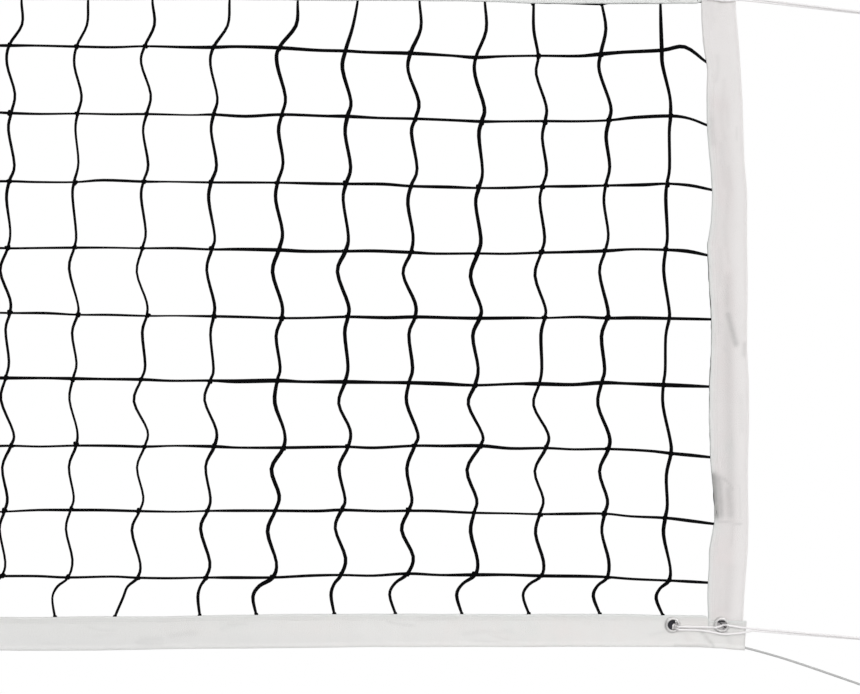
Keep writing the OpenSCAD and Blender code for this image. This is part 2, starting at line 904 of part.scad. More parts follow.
module right_mast() {
    slot = sheave_width + 2 * sheave_slot_gap;
    slot_low = sheave_z - sheave_r - sheave_slot_gap;
    color(mast_colour)
        at_post(RIGHT)
            difference() {
                mast_body(right_hook_levels);
                translate([-2 * mast_r, -slot / 2, slot_low])
                    cube([4 * mast_r, slot, 2 * (sheave_r + sheave_slot_gap)]);
                translate([0, 0, sheave_z])
                    rod_y(sheave_axle_r, -2 * mast_r, 2 * mast_r);
                for (z = [upper_winch_bolt_z, lower_winch_bolt_z])
                    translate([0, 0, winch_z + z])
                        rod_x(winch_bolt_r + loose_gap, -2 * mast_r, 2 * mast_r, small_fn);
            }
}

// Plastic ring on the foot of the mast that slides in the post tube.
module lower_guide(side) {
    color(rubber_black)
        at_post(side)
            translate([0, 0, mast_foot])
                difference() {
                    cylinder(r = tube_inner_r - running_gap, h = guide_height, $fn = round_fn);
                    translate([0, 0, -cut])
                        cylinder(r = mast_r, h = guide_height + 2 * cut, $fn = round_fn);
                }
}

module mast_cap(side) {
    edge_r = mast_r + mast_cap_overlap;
    color(rubber_black)
        at_post(side)
            translate([0, 0, mast_top])
                rotate_extrude($fn = round_fn)
                    polygon([
                        [0, -mast_cap_plug],
                        [mast_r - mast_wall - loose_gap, -mast_cap_plug],
                        [mast_r - mast_wall - loose_gap, 0],
                        [edge_r, 0],
                        [edge_r, mast_cap_height / 2],
                        [edge_r - mast_cap_shoulder, mast_cap_height - mast_cap_shoulder / 2],
                        [edge_r - mast_cap_bevel, mast_cap_height],
                        [0, mast_cap_height]
                    ]);
}

// Riveted eye: ring, collar on the mast, shank through the wall and rivet head inside.
module line_hook() {
    translate([0, 0, hook_reach])
        rotate([90, 0, 0])
            rotate_extrude($fn = small_fn)
                translate([hook_ring_r, 0])
                    circle(r = hook_wire_r, $fn = small_fn);
    translate([0, 0, -mast_wall - hook_head_thickness])
        cylinder(r = hook_shank_r, h = hook_reach - hook_ring_r + mast_wall + hook_head_thickness, $fn = small_fn);
    cylinder(r = hook_collar_r, h = hook_collar_thickness, $fn = small_fn);
    translate([0, 0, -mast_wall - hook_head_thickness])
        cylinder(r = hook_head_r, h = hook_head_thickness, $fn = small_fn);
}

module line_hooks(side, levels) {
    color(steel_grey)
        at_post(side)
            difference() {
                hook_levels(levels)
                    line_hook();
                difference() {
                    for (z = levels)
                        translate([0, 0, z - 2 * hook_collar_r])
                            cylinder(r = mast_r, h = 4 * hook_collar_r, $fn = round_fn);
                    for (z = levels)
                        translate([0, 0, z - 3 * hook_collar_r])
                            cylinder(r = mast_r - mast_wall, h = 6 * hook_collar_r, $fn = round_fn);
                    hook_levels(levels)
                        translate([0, 0, -2 * mast_wall])
                            cylinder(r = hook_shank_r, h = 4 * mast_wall, $fn = small_fn);
                }
            }
}

// ---- Sheave ----

module head_sheave() {
    half = sheave_width / 2;
    color(dark_grey)
        at_post(RIGHT)
            translate([0, 0, sheave_z])
                rotate([90, 0, 0])
                    rotate_extrude($fn = round_fn)
                        difference() {
                            translate([sheave_axle_r + running_gap, -half])
                                square([sheave_r - sheave_axle_r - running_gap, sheave_width]);
                            translate([sheave_run_r, 0])
                                circle(r = groove_r, $fn = small_fn);
                            translate([sheave_run_r, -groove_r])
                                square([sheave_flange + cut, 2 * groove_r]);
                        }
}

module sheave_axle() {
    color(steel_grey)
        at_post(RIGHT)
            translate([0, 0, sheave_z])
                difference() {
                    union() {
                        rod_y(sheave_axle_r, -mast_r, mast_r);
                        rod_y(sheave_head_r, mast_r - sheave_head_seat, mast_r + sheave_head, small_fn);
                        rod_y(sheave_head_r, -mast_r - sheave_head, -mast_r + sheave_head_seat, small_fn);
                    }
                    difference() {
                        translate([0, 0, -2 * sheave_head_r])
                            cylinder(r = mast_r, h = 4 * sheave_head_r, $fn = round_fn);
                        rod_y(sheave_axle_r, -2 * mast_r, 2 * mast_r);
                    }
                }
}

// ---- Winch ----

// Places a piece of the winch with the drum axle at its origin.
module at_winch() {
    at_post(RIGHT)
        translate([drum_x, 0, winch_z])
            children();
}

// Places a piece of the winch with the crank shaft at its origin.
module at_crank() {
    at_winch()
        translate([0, 0, -crank_drop])
            children();
}

// Outline of a spur gear with straight-sided teeth, the first one at the given angle.
module gear_outline(teeth, pitch_r, first) {
    step = 360 / teeth;
    polygon([
        for (i = [0 : teeth - 1])
            for (corner = [
                [-tooth_root_share, -tooth_depth],
                [-tooth_tip_share, tooth_height],
                [tooth_tip_share, tooth_height],
                [tooth_root_share, -tooth_depth]
            ])
                polar(pitch_r + corner[1], first + (i + corner[0]) * step)
    ]);
}

module winch_saddle() {
    color(dark_grey)
        at_post(RIGHT)
            difference() {
                translate([mast_r / 2, -saddle_half_width, winch_z - frame_bottom])
                    cube([mast_r / 2 + saddle_depth, 2 * saddle_half_width, frame_bottom + frame_top]);
                translate([0, 0, winch_z - 2 * frame_bottom])
                    cylinder(r = mast_r, h = 4 * frame_bottom, $fn = round_fn);
                for (z = [upper_winch_bolt_z, lower_winch_bolt_z])
                    translate([0, 0, winch_z + z])
                        rod_x(winch_bolt_r + loose_gap, 0, 2 * mast_r, small_fn);
            }
}

module cheek_outline() {
    translate([frame_face - frame_plate - drum_x, -frame_bottom])
        square([drum_x - frame_face + frame_plate, frame_bottom + frame_top - cheek_shoulder]);
    circle(r = frame_disc_r, $fn = round_fn);
    translate([0, -crank_drop])
        circle(r = frame_nose_r, $fn = round_fn);
}

// Bent steel channel that carries both shafts.
module winch_frame() {
    color(tube_colour)
        at_winch()
            difference() {
                union() {
                    translate([frame_face - frame_plate - drum_x, -frame_outer_y, -frame_bottom])
                        cube([frame_plate, 2 * frame_outer_y, frame_bottom + frame_top]);
                    plate_y(frame_inner_y, frame_outer_y)
                        cheek_outline();
                    plate_y(-frame_outer_y, -frame_inner_y)
                        cheek_outline();
                }
                rod_y(winch_axle_r, -2 * frame_outer_y, 2 * frame_outer_y);
                translate([0, 0, -crank_drop])
                    rod_y(winch_axle_r + running_gap, -2 * frame_outer_y, 2 * frame_outer_y);
                translate([0, 0, -crank_drop])
                    pawl_pivot()
                        rod_y(pawl_pin_r, -2 * frame_outer_y, 0, small_fn);
                for (z = [upper_winch_bolt_z, lower_winch_bolt_z])
                    translate([0, 0, z])
                        rod_x(winch_bolt_r + loose_gap, -drum_x, frame_face - drum_x + cut, small_fn);
            }
}

// Two bolts through frame, saddle and mast, with their nuts on the net side.
module winch_bolts() {
    color(steel_grey)
        at_post(RIGHT)
            for (z = [upper_winch_bolt_z, lower_winch_bolt_z])
                translate([0, 0, winch_z + z]) {
                    rod_x(winch_bolt_r, -mast_r - winch_bolt_head - winch_bolt_end, frame_face + cut, small_fn);
                    rod_x(winch_bolt_head_r, frame_face, frame_face + winch_bolt_head, 6);
                    rod_x(winch_bolt_head_r, -mast_r - winch_bolt_head, -mast_r, 6);
                }
}

module drum_axle() {
    color(steel_grey)
        at_winch() {
            rod_y(winch_axle_r, -frame_outer_y - rivet_end, frame_outer_y + rivet_end);
            rod_y(winch_head_r, frame_outer_y, frame_outer_y + winch_head, small_fn);
            rod_y(winch_head_r, -frame_outer_y - winch_head, -frame_outer_y, small_fn);
        }
}

module winch_drum() {
    color(steel_grey)
        at_winch()
            difference() {
                union() {
                    rod_y(drum_hub_r, -frame_inner_y + drum_side_gap, frame_inner_y - drum_side_gap);
                    rod_y(drum_core_r, drum_front - cut, drum_back + cut);
                    rod_y(drum_flange_r, drum_front - drum_flange, drum_front);
                    rod_y(drum_flange_r, drum_back, drum_back + drum_flange);
                }
                rod_y(winch_axle_r + running_gap, -2 * frame_outer_y, 2 * frame_outer_y);
            }
}

module drum_gear() {
    color(steel_grey)
        at_winch()
            plate_y(gear_y - gear_width / 2, gear_y + gear_width / 2)
                difference() {
                    gear_outline(gear_teeth, gear_r, -90);
                    circle(r = drum_hub_r, $fn = round_fn);
                }
}

// Turns of headline in one layer on the drum.
module drum_winding() {
    turns = winding_turns * winding_steps;
    start_y = drum_shift - winding_turns * winding_pitch / 2;
    route = [
        for (i = [0 : turns])
            let (p = polar(winding_r, 180 + 360 * i / winding_steps))
                [p[0], start_y + winding_pitch * i / winding_steps, p[1]]
    ];
    echo(least_gap_between_turns = winding_pitch - 2 * headline_r);
    color(line_grey)
        at_winch()
            sweep_tube(route, headline_r, [0, 1, 0], winding_sides);
}

// Crank shaft with its pinion, held by a collar at the back and riveted over the crank arm.
module crank_shaft() {
    shoulder_r = pinion_r - tooth_depth;
    color(steel_grey)
        at_crank() {
            rod_y(winch_axle_r, -arm_front - arm_thickness - rivet_end, frame_outer_y + rivet_end);
            rod_y(shoulder_r, -frame_inner_y + drum_side_gap, frame_inner_y - drum_side_gap);
            rod_y(winch_head_r, -arm_front - arm_thickness - winch_head, -arm_front - arm_thickness, small_fn);
            rod_y(winch_head_r, frame_outer_y + drum_side_gap, frame_outer_y + drum_side_gap + winch_head, small_fn);
            plate_y(gear_y - gear_width / 2 - gear_side_gap, gear_y + gear_width / 2 + gear_side_gap)
                gear_outline(pinion_teeth, pinion_r, 90 + 180 / pinion_teeth);
        }
}

module ratchet_wheel() {
    step = 360 / ratchet_teeth;
    color(steel_grey)
        at_crank()
            plate_y(-ratchet_front - ratchet_width, -ratchet_front)
                difference() {
                    polygon([
                        for (i = [0 : ratchet_teeth - 1])
                            for (corner = [[ratchet_r, 0], [ratchet_root_r, ratchet_slant]])
                                polar(corner[0], i * step + corner[1])
                    ]);
                    circle(r = winch_axle_r, $fn = round_fn);
                }
}

module crank_arm() {
    pin_end = grip_front + grip_length + grip_gap;
    color(steel_grey)
        at_crank()
            difference() {
                union() {
                    plate_y(-arm_front - arm_thickness, -arm_front) {
                        translate([-arm_half_width, -crank_length])
                            square([2 * arm_half_width, crank_length]);
                        circle(r = arm_boss_r, $fn = round_fn);
                        translate([0, -crank_length])
                            circle(r = arm_half_width, $fn = round_fn);
                    }
                    rod_y(arm_boss_r, -arm_front, -ratchet_front - ratchet_width);
                    translate([0, 0, -crank_length]) {
                        rod_y(grip_pin_r, -pin_end - cut, -arm_front);
                        rod_y(grip_head_share * grip_pin_r, -pin_end - cut - grip_head, -pin_end, small_fn);
                    }
                }
                rod_y(winch_axle_r, -2 * pin_end, 0);
            }
}

module crank_grip() {
    half = grip_length / 2;
    color(rubber_black)
        at_crank()
            translate([0, -grip_front - half, -crank_length])
                rotate([90, 0, 0])
                    rotate_extrude($fn = round_fn)
                        polygon([
                            [grip_pin_r + running_gap, -half],
                            [grip_r - grip_shoulder, -half],
                            [grip_r - grip_shoulder / 4, -half + grip_shoulder],
                            [grip_r - grip_waist, -half + grip_waist_from_end],
                            [grip_r, 0],
                            [grip_r - grip_waist, half - grip_waist_from_end],
                            [grip_r - grip_shoulder / 4, half - grip_shoulder],
                            [grip_r - grip_shoulder, half],
                            [grip_pin_r + running_gap, half]
                        ]);
}

// Places a piece at the pivot of the pawl.
module pawl_pivot() {
    place = polar(pawl_pivot_r, pawl_pivot_angle);
    translate([place[0], 0, place[1]])
        children();
}

// Outline of the pawl as it sits in the ratchet.
module pawl_outline() {
    place = polar(pawl_pivot_r, pawl_pivot_angle);
    difference() {
        union() {
            translate(place)
                circle(r = pawl_boss_r, $fn = small_fn);
            polygon([
                polar(ratchet_root_r + 1.4, pawl_tooth_angle + 6),
                polar(ratchet_r + 3, pawl_tooth_angle + 5),
                polar(ratchet_r + 10, pawl_tooth_angle + 14),
                place + [0, pawl_boss_r - 0.5],
                place + [1, -pawl_boss_r + 0.5],
                polar(ratchet_r + 1.5, pawl_tooth_angle + 26)
            ]);
            polygon([
                place + [0, pawl_boss_r - 1],
                place + [-16, 9],
                place + [-17, 5],
                place + [-2, -pawl_boss_r + 2]
            ]);
        }
        translate(place)
            circle(r = pawl_pin_r + running_gap, $fn = small_fn);
    }
}

// Pawl that drops into the ratchet and stops the drum from paying out. It stands lifted off the teeth.
module pawl() {
    place = polar(pawl_pivot_r, pawl_pivot_angle);
    color(steel_grey)
        at_crank()
            plate_y(-ratchet_front - ratchet_width, -ratchet_front)
                translate(place)
                    rotate(pawl_rest_lift)
                        translate(-place)
                            pawl_outline();
}

module pawl_pin() {
    pin_end = -ratchet_front - ratchet_width - 1;
    head_r = pin_head_share * pawl_pin_r;
    color(steel_grey)
        at_crank()
            pawl_pivot() {
                rod_y(pawl_pin_r, pin_end, -frame_inner_y, small_fn);
                rod_y(head_r, pin_end - pin_head, pin_end + 1 - pin_play, small_fn);
                rod_y(head_r, -ratchet_front + pin_play, -frame_outer_y, small_fn);
            }
}

netting();
top_band();
bottom_band();
side_band(LEFT);  // left_side_band
side_band(RIGHT);  // right_side_band
eyelets();
headline();
bottom_line();
corner_ties(LEFT);  // left_corner_ties
corner_ties(RIGHT);  // right_corner_ties
base(LEFT);  // left_base
floor_pads(LEFT);  // left_floor_pads
base_bolts(LEFT);  // left_base_bolts
post_tube(LEFT);  // left_post_tube
upper_guide(LEFT);  // left_upper_guide
clamp_collar(LEFT);  // left_clamp_collar
clamp_bolt(LEFT);  // left_clamp_bolt
clamp_lever(LEFT);  // left_clamp_lever
wheel_bracket(LEFT);  // left_wheel_bracket
wheel_axle(LEFT);  // left_wheel_axle
wheel(LEFT, -wheel_y);  // left_front_wheel
wheel(LEFT, wheel_y);  // left_back_wheel
left_mast();
lower_guide(LEFT);  // left_lower_guide
mast_cap(LEFT);  // left_mast_cap
line_hooks(LEFT, left_hook_levels);  // left_line_hooks
base(RIGHT);  // right_base
floor_pads(RIGHT);  // right_floor_pads
base_bolts(RIGHT);  // right_base_bolts
post_tube(RIGHT);  // right_post_tube
upper_guide(RIGHT);  // right_upper_guide
clamp_collar(RIGHT);  // right_clamp_collar
clamp_bolt(RIGHT);  // right_clamp_bolt
clamp_lever(RIGHT);  // right_clamp_lever
wheel_bracket(RIGHT);  // right_wheel_bracket
wheel_axle(RIGHT);  // right_wheel_axle
wheel(RIGHT, -wheel_y);  // right_front_wheel
wheel(RIGHT, wheel_y);  // right_back_wheel
right_mast();
lower_guide(RIGHT);  // right_lower_guide
mast_cap(RIGHT);  // right_mast_cap
line_hooks(RIGHT, right_hook_levels);  // right_line_hooks
head_sheave();
sheave_axle();
winch_saddle();
winch_frame();
winch_bolts();
drum_axle();
winch_drum();
drum_gear();
drum_winding();
crank_shaft();
ratchet_wheel();
crank_arm();
crank_grip();
pawl();
pawl_pin();
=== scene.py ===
"""Dresses a volleyball net between two telescopic posts: netting, bands, eyelets, cords, posts and winch."""

import functools
import json
import math

import bpy
import numpy as np
from bpy.props import FloatProperty, FloatVectorProperty, IntProperty, PointerProperty
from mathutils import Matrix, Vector


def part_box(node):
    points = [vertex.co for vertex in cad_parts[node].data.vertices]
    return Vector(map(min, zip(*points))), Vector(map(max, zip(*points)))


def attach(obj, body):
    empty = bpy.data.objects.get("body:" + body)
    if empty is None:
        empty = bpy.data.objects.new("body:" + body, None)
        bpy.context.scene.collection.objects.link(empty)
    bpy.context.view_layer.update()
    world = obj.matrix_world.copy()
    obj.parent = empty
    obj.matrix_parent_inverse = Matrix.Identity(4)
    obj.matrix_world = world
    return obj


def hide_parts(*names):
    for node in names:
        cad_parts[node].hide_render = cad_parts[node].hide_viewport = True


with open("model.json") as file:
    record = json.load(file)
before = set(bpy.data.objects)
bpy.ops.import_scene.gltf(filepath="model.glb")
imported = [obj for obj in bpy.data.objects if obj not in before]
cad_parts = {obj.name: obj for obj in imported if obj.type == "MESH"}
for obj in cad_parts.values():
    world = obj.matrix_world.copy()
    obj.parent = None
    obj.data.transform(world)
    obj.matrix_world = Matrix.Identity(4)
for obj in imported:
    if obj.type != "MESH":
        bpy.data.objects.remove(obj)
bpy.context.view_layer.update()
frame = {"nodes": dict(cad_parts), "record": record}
NODES = frame["nodes"]

bl_info = {
    "name": "Volleyball Net Dresser",
    "version": (1, 0, 0),
    "blender": (4, 5, 0),
    "location": "3D View > Sidebar > Net",
    "description": "Dresses a volleyball net on telescopic posts with netting, canvas, cords and finishes",
    "category": "Object",
}

MM = 0.001
TURN = 2 * math.pi
SIDES = {"left": -1, "right": 1}
NET_BODY = "left_mast"

# Where the solids are, in metres.
TOP_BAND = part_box("top_band")
BOTTOM_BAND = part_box("bottom_band")
SIDE_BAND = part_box("right_side_band")
BAND_END = TOP_BAND[1].x
NET_TOP_Z = TOP_BAND[1].z
TOP_MOUTH_Z = TOP_BAND[0].z
BOTTOM_MOUTH_Z = BOTTOM_BAND[1].z
BOTTOM_EDGE_Z = BOTTOM_BAND[0].z
POST_X = (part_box("right_post_tube")[0].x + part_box("right_post_tube")[1].x) / 2

# How the netting is knotted.
MESH_COLUMNS = 96
MESH_ROWS = 10
NET_BOTTOM_Z = BOTTOM_EDGE_Z + 9 * MM


# ---- Sizes and colours that a user may change ----


def length_setting(name, description, default):
    return FloatProperty(name=name, description=description, default=default, unit="LENGTH")


def colour_setting(name, description, default):
    return FloatVectorProperty(
        name=name, description=description, default=default, subtype="COLOR", min=0, max=1
    )


def seed_setting(default):
    return IntProperty(name="Seed", description="Start of the random draws", default=default)


class NettingSettings(bpy.types.PropertyGroup):
    pitch: length_setting("Mesh", "Distance between neighbouring knots", 0.1)
    twine: length_setting("Twine radius", "Radius of the twine", 0.0025)
    bow: FloatProperty(
        name="Bow", description="How far the upright strands bow, as a share of the usual", default=1
    )
    knot: length_setting("Knot radius", "Radius of the path of a knot", 0.0026)
    colour: colour_setting("Twine colour", "Colour of the twine", (0.0015, 0.0015, 0.0018))
    seed: seed_setting(7)


class BandSettings(bpy.types.PropertyGroup):
    cloth: length_setting("Cloth", "Thickness of the canvas", 0.0007)
    ripple: length_setting("Ripple", "Depth of the waves in the canvas", 0.0012)
    colour: colour_setting("Canvas colour", "Colour of the top and bottom bands", (0.845, 0.838, 0.826))
    side_colour: colour_setting("Side colour", "Colour of the side bands", (0.803, 0.772, 0.768))
    # The crease colour is painted shade: the canvas is darkened towards it in its creases and round its
    # eyelets.
    shade: colour_setting("Painted crease shade", "Colour painted into the creases and round the eyelets as their shade", (0.33, 0.322, 0.318))
    seed: seed_setting(21)


class CordSettings(bpy.types.PropertyGroup):
    strand: length_setting("Tie strand", "Radius of one of the two strands of a tie", 0.0016)
    tie_colour: colour_setting("Tie colour", "Colour of the corner ties", (0.79, 0.772, 0.776))
    line_colour: colour_setting("Line colour", "Colour of the bottom line", (0.44, 0.44, 0.44))


class PostSettings(bpy.types.PropertyGroup):
    tube_colour: colour_setting("Tube paint", "Colour of the post tubes", (0.33, 0.34, 0.355))
    base_colour: colour_setting(
        "Base paint", "Colour of the bases, collars and brackets", (0.019, 0.02, 0.022)
    )
    rubber_colour: colour_setting("Rubber", "Colour of wheels, pads and grip", (0.022, 0.022, 0.023))
    bead: length_setting("Weld bead", "Radius of the welds at the feet of the posts", 0.0035)
    ridge: length_setting("Grip ridge", "Radius of the ridges on the crank grip and the levers", 0.0012)


class StageSettings(bpy.types.PropertyGroup):
    lens: FloatProperty(name="Lens", description="Focal length in millimetres", default=85)
    view_width: length_setting("View width", "Width of the view at the net", 1.303)
    floor_colour: colour_setting("Floor colour", "Colour of the floor near the posts", (0.86, 0.86, 0.855))


# ---- Shader nodes ----


class Value:
    """What a shader node puts out. Sums and comparisons take it as they take a plain number."""

    def __init__(self, socket):
        self.socket = socket
        self.tree = socket.id_data

    def __add__(self, other):
        return calc("ADD", self, other)

    def __sub__(self, other):
        return calc("SUBTRACT", self, other)

    def __rsub__(self, other):
        return calc("SUBTRACT", other, self)

    def __mul__(self, other):
        return calc("MULTIPLY", self, other)

    def __truediv__(self, other):
        return calc("DIVIDE", self, other)

    def __pow__(self, other):
        return calc("POWER", self, other)

    def __lt__(self, other):
        return calc("LESS_THAN", self, other)

    def __gt__(self, other):
        return calc("GREATER_THAN", self, other)

    def __abs__(self):
        return calc("ABSOLUTE", self)


def plug(socket, value):
    """Links an input to what a node puts out, or sets it to a plain value."""
    if isinstance(value, Value):
        value.tree.links.new(value.socket, socket)
    else:
        socket.default_value = value


def add(tree, kind, *values, **settings):
    """Adds a shader node whose first inputs take the given values."""
    made = tree.nodes.new("ShaderNode" + kind)
    for key, setting in settings.items():
        setattr(made, key, setting)
    for socket, value in zip(made.inputs, values):
        plug(socket, value)
    return made


def result(tree, kind, *values, output=0, **settings):
    """Adds a shader node and gives one of its outputs."""
    return Value(add(tree, kind, *values, **settings).outputs[output])


def tree_of(values):
    return next(value.tree for value in values if isinstance(value, Value))


def calc(operation, *values):
    return result(tree_of(values), "Math", *values, operation=operation)


def highest(*values):
    return functools.reduce(lambda one, other: calc("MAXIMUM", one, other), values)


def half_wave(value):
    """A smooth rise and fall for each whole step of a value."""
    return calc("SINE", calc("FRACT", value) * math.pi)


def rgba(colour):
    return colour if isinstance(colour, Value) else (*colour[:3], 1)


def tinted(colour, shares, lift=0):
    """A colour scaled, as a whole or part by part, and lifted a little."""
    return tuple(np.minimum(np.array(colour[:3]) * shares + lift, 1))


def blend(share, low, high):
    """A colour between two others."""
    made = add(tree_of((share, low, high)), "Mix", data_type="RGBA")
    for place, value in ((0, share), (6, rgba(low)), (7, rgba(high))):
        plug(made.inputs[place], value)
    return Value(made.outputs[2])


def ramp(value, low, high, start=0, end=1):
    """Maps a value between two limits to a smooth share."""
    return result(value.tree, "MapRange", value, low, high, start, end, interpolation_type="SMOOTHSTEP")


def noise(place, scale, detail=3, roughness=0.5):
    made = add(place.tree, "TexNoise", place)
    for label, value in (("Scale", scale), ("Detail", detail), ("Roughness", roughness)):
        plug(made.inputs[label], value)
    return Value(made.outputs["Fac"])


def object_place(tree):
    return result(tree, "TexCoord", output="Object")


def surface_place(tree):
    """The two surface coordinates of a piece: round or across it, and along it in metres."""
    return split(result(tree, "UVMap", uv_map="cloth"))[:2]


def split(place):
    """The three parts of a place or a direction."""
    return [Value(socket) for socket in add(place.tree, "SeparateXYZ", place).outputs]


def new_group(name, **inputs):
    """Starts a shader node group and gives its tree and its inputs."""
    tree = bpy.data.node_groups.new(name, "ShaderNodeTree")
    for label, value in inputs.items():
        socket = tree.interface.new_socket(name=label, in_out="INPUT", socket_type="NodeSocketFloat")
        socket.default_value = value
    given = tree.nodes.new("NodeGroupInput").outputs
    return tree, {label: Value(given[label]) for label in inputs}


def end_group(tree, **outputs):
    """Adds the outputs of a shader node group."""
    for label in outputs:
        tree.interface.new_socket(name=label, in_out="OUTPUT", socket_type="NodeSocketFloat")
    end = tree.nodes.new("NodeGroupOutput")
    for label, value in outputs.items():
        plug(end.inputs[label], value)


def use_group(tree, name, **values):
    """Places a shader node group and gives its outputs."""
    made = tree.nodes.new("ShaderNodeGroup")
    made.node_tree = bpy.data.node_groups[name]
    for label, value in values.items():
        plug(made.inputs[label.capitalize()], value)
    return {output.name: Value(output) for output in made.outputs}


def build_weave():
    """Plain weave: threads pass over and under each other."""
    tree, given = new_group("Canvas weave", Threads=1400)
    across, along = surface_place(tree)
    warp, weft = across * given["Threads"], along * given["Threads"]
    over = calc("PINGPONG", calc("FLOOR", warp) + calc("FLOOR", weft), 1)
    height = half_wave(warp) * over + half_wave(weft) * (1 - over)
    end_group(tree, Height=height, Shade=noise(object_place(tree), 900, 2) * (height + 0.5))


def build_stitch():
    """A row of machine stitches at one place across a band."""
    tree, given = new_group("Stitch row", Place=0.005, Length=0.004, Width=0.0006)
    across, along = surface_place(tree)
    off = abs(across - given["Place"])
    on_thread = abs(calc("FRACT", along / given["Length"]) - 0.5) < 0.36
    pinch = ramp(off / (given["Width"] * 5), 0, 1, 1, 0)
    end_group(tree, Thread=(off < given["Width"]) * on_thread, Pinch=pinch)


def build_twist():
    """Strands laid round each other along a twine."""
    tree, given = new_group("Twine lay", Strands=3, Lay=0.012)
    around, along = surface_place(tree)
    end_group(tree, Height=half_wave(around * given["Strands"] + along / given["Lay"]))


def build_braid():
    """Strands that cross each other both ways round a cord."""
    tree, given = new_group("Cord braid", Strands=8, Lay=0.006)
    around, along = surface_place(tree)
    turns, rise = around * given["Strands"], along / given["Lay"]
    end_group(tree, Height=highest(half_wave(turns + rise), half_wave(turns - rise)))


def build_grain():
    """Fine grain with broader, cloudy patches."""
    tree, given = new_group("Surface grain", Scale=900, Patch=9)
    place = object_place(tree)
    end_group(tree, Height=noise(place, given["Scale"], 4, 0.6), Patch=noise(place, given["Patch"], 5, 0.6))


def build_wear():
    """Where an edge has rubbed bare, and where dust has settled on what faces up."""
    tree, given = new_group("Edge wear", Rub=0.3, Scale=70)
    place = object_place(tree)
    normal = result(tree, "NewGeometry", output="Normal")
    rounded = result(tree, "Bevel", 0.0016, samples=4)
    bend = result(tree, "VectorMath", rounded, normal, output="Value", operation="DOT_PRODUCT")
    worn = ramp(bend, 0.72, 1, 1, 0) * ramp(noise(place, given["Scale"], 5, 0.65), 0.42, 0.62)
    settled = ramp(split(normal)[2], 0.3, 1) * ramp(noise(place, 25, 5), 0.4, 0.75)
    end_group(tree, Bare=ramp(worn, given["Rub"], given["Rub"] + 0.25), Dust=settled)


def build_drawn():
    """Fine lines that run the length of a drawn tube."""
    tree, given = new_group("Drawn lines", Lines=900, Length=4)
    place = object_place(tree)
    x, y, z = split(place)
    stretched = result(tree, "CombineXYZ", x * given["Lines"], y * given["Lines"], z * given["Length"])
    end_group(tree, Height=noise(stretched, 1, 3, 0.7), Patch=noise(place, 6, 5, 0.6))


def build_ring_shadow():
    """A painted shadow round a ring, strongest on its side towards the middle of the net; the ring's middle
    is at a distance from the middle of the net and at a height.
    """
    tree, given = new_group("Ring shadow", Away=4.7, Height=1.4, Radius=0.0122, Width=0.0018)
    x, _, z = split(object_place(tree))
    away, rise = abs(x) - given["Away"], z - given["Height"]
    distance = calc("SQRT", away * away + rise * rise)
    mark = ramp(abs(distance - given["Radius"]) / given["Width"], 0, 1, 1, 0)
    end_group(tree, Mark=mark * ramp(away, -0.008, 0.004, 1, 0.15))


def build_scale():
    """Height marks up the front of a mast: short and long ticks, and a ring for each playing height."""
    tree, given = new_group("Height scale", Axis=5.25, Low=0.86, High=1.2, Ring=0.993, Upper=1.183)
    x, y, z = split(object_place(tree))
    off = abs(abs(x) - given["Axis"])

    def ticks(step, thick, reach):
        return (abs(calc("FRACT", z / step) - 0.5) < thick / step / 2) * (off < reach)

    mark = highest(ticks(0.01, 0.0013, 0.006), ticks(0.05, 0.0018, 0.012))
    mark = mark * (z > given["Low"]) * (z < given["High"]) * (y < 0)
    rings = [abs(z - given[height]) < 0.0015 for height in ("Ring", "Upper")]
    end_group(tree, Mark=highest(mark, *rings))


GROUPS = (
    build_weave, build_stitch, build_twist, build_braid, build_grain, build_wear, build_drawn, build_ring_shadow,
    build_scale,
)


# ---- Materials ----

DUST = (0.4, 0.38, 0.35)
PAINT_DUST = (0.42, 0.4, 0.37)
RUBBER_DUST = (0.35, 0.33, 0.3)
BARE_STEEL = (0.5, 0.5, 0.5)
SCALE_INK = (0.02, 0.02, 0.022)
STITCH_THREAD = (0.9, 0.89, 0.87)


def surface(name, **sockets):
    """Starts a material and gives it, its node tree and its Principled BSDF."""
    material = bpy.data.materials.new(name)
    material.use_nodes = True
    shader = material.node_tree.nodes["Principled BSDF"]
    finish(shader, **sockets)
    return material, material.node_tree, shader


def finish(shader, **sockets):
    """Sets or links the sockets of a Principled BSDF."""
    for label, value in sockets.items():
        plug(shader.inputs[label.replace("_", " ")], value)


def bump(shader, height, distance, edge_r=0):
    """Fine relief on a surface, whose edges look rounded by a radius."""
    made = height.tree.nodes.new("ShaderNodeBump")
    if edge_r:
        plug(made.inputs["Normal"], result(height.tree, "Bevel", edge_r, samples=4))
    for label, value in (("Height", height), ("Distance", distance), ("Strength", 1)):
        plug(made.inputs[label], value)
    plug(shader.inputs["Normal"], Value(made.outputs["Normal"]))


def twine_material(settings):
    material, tree, shader = surface("netting_twine", Roughness=0.78, Specular_IOR_Level=0.03)
    lay = use_group(tree, "Twine lay", strands=3, lay=0.011)["Height"]
    grain = use_group(tree, "Surface grain", scale=2500, patch=14)
    # Painted shade: the grooves between the twine's strands are darker than their crowns, in patches.
    tone = ramp(grain["Patch"], 0.35, 0.7) * ramp(lay, 0.2, 1)
    finish(shader, Base_Color=blend(tone, settings.colour, tinted(settings.colour, 2.2)))
    bump(shader, lay + grain["Height"] * 0.3, 0.0005)
    return material


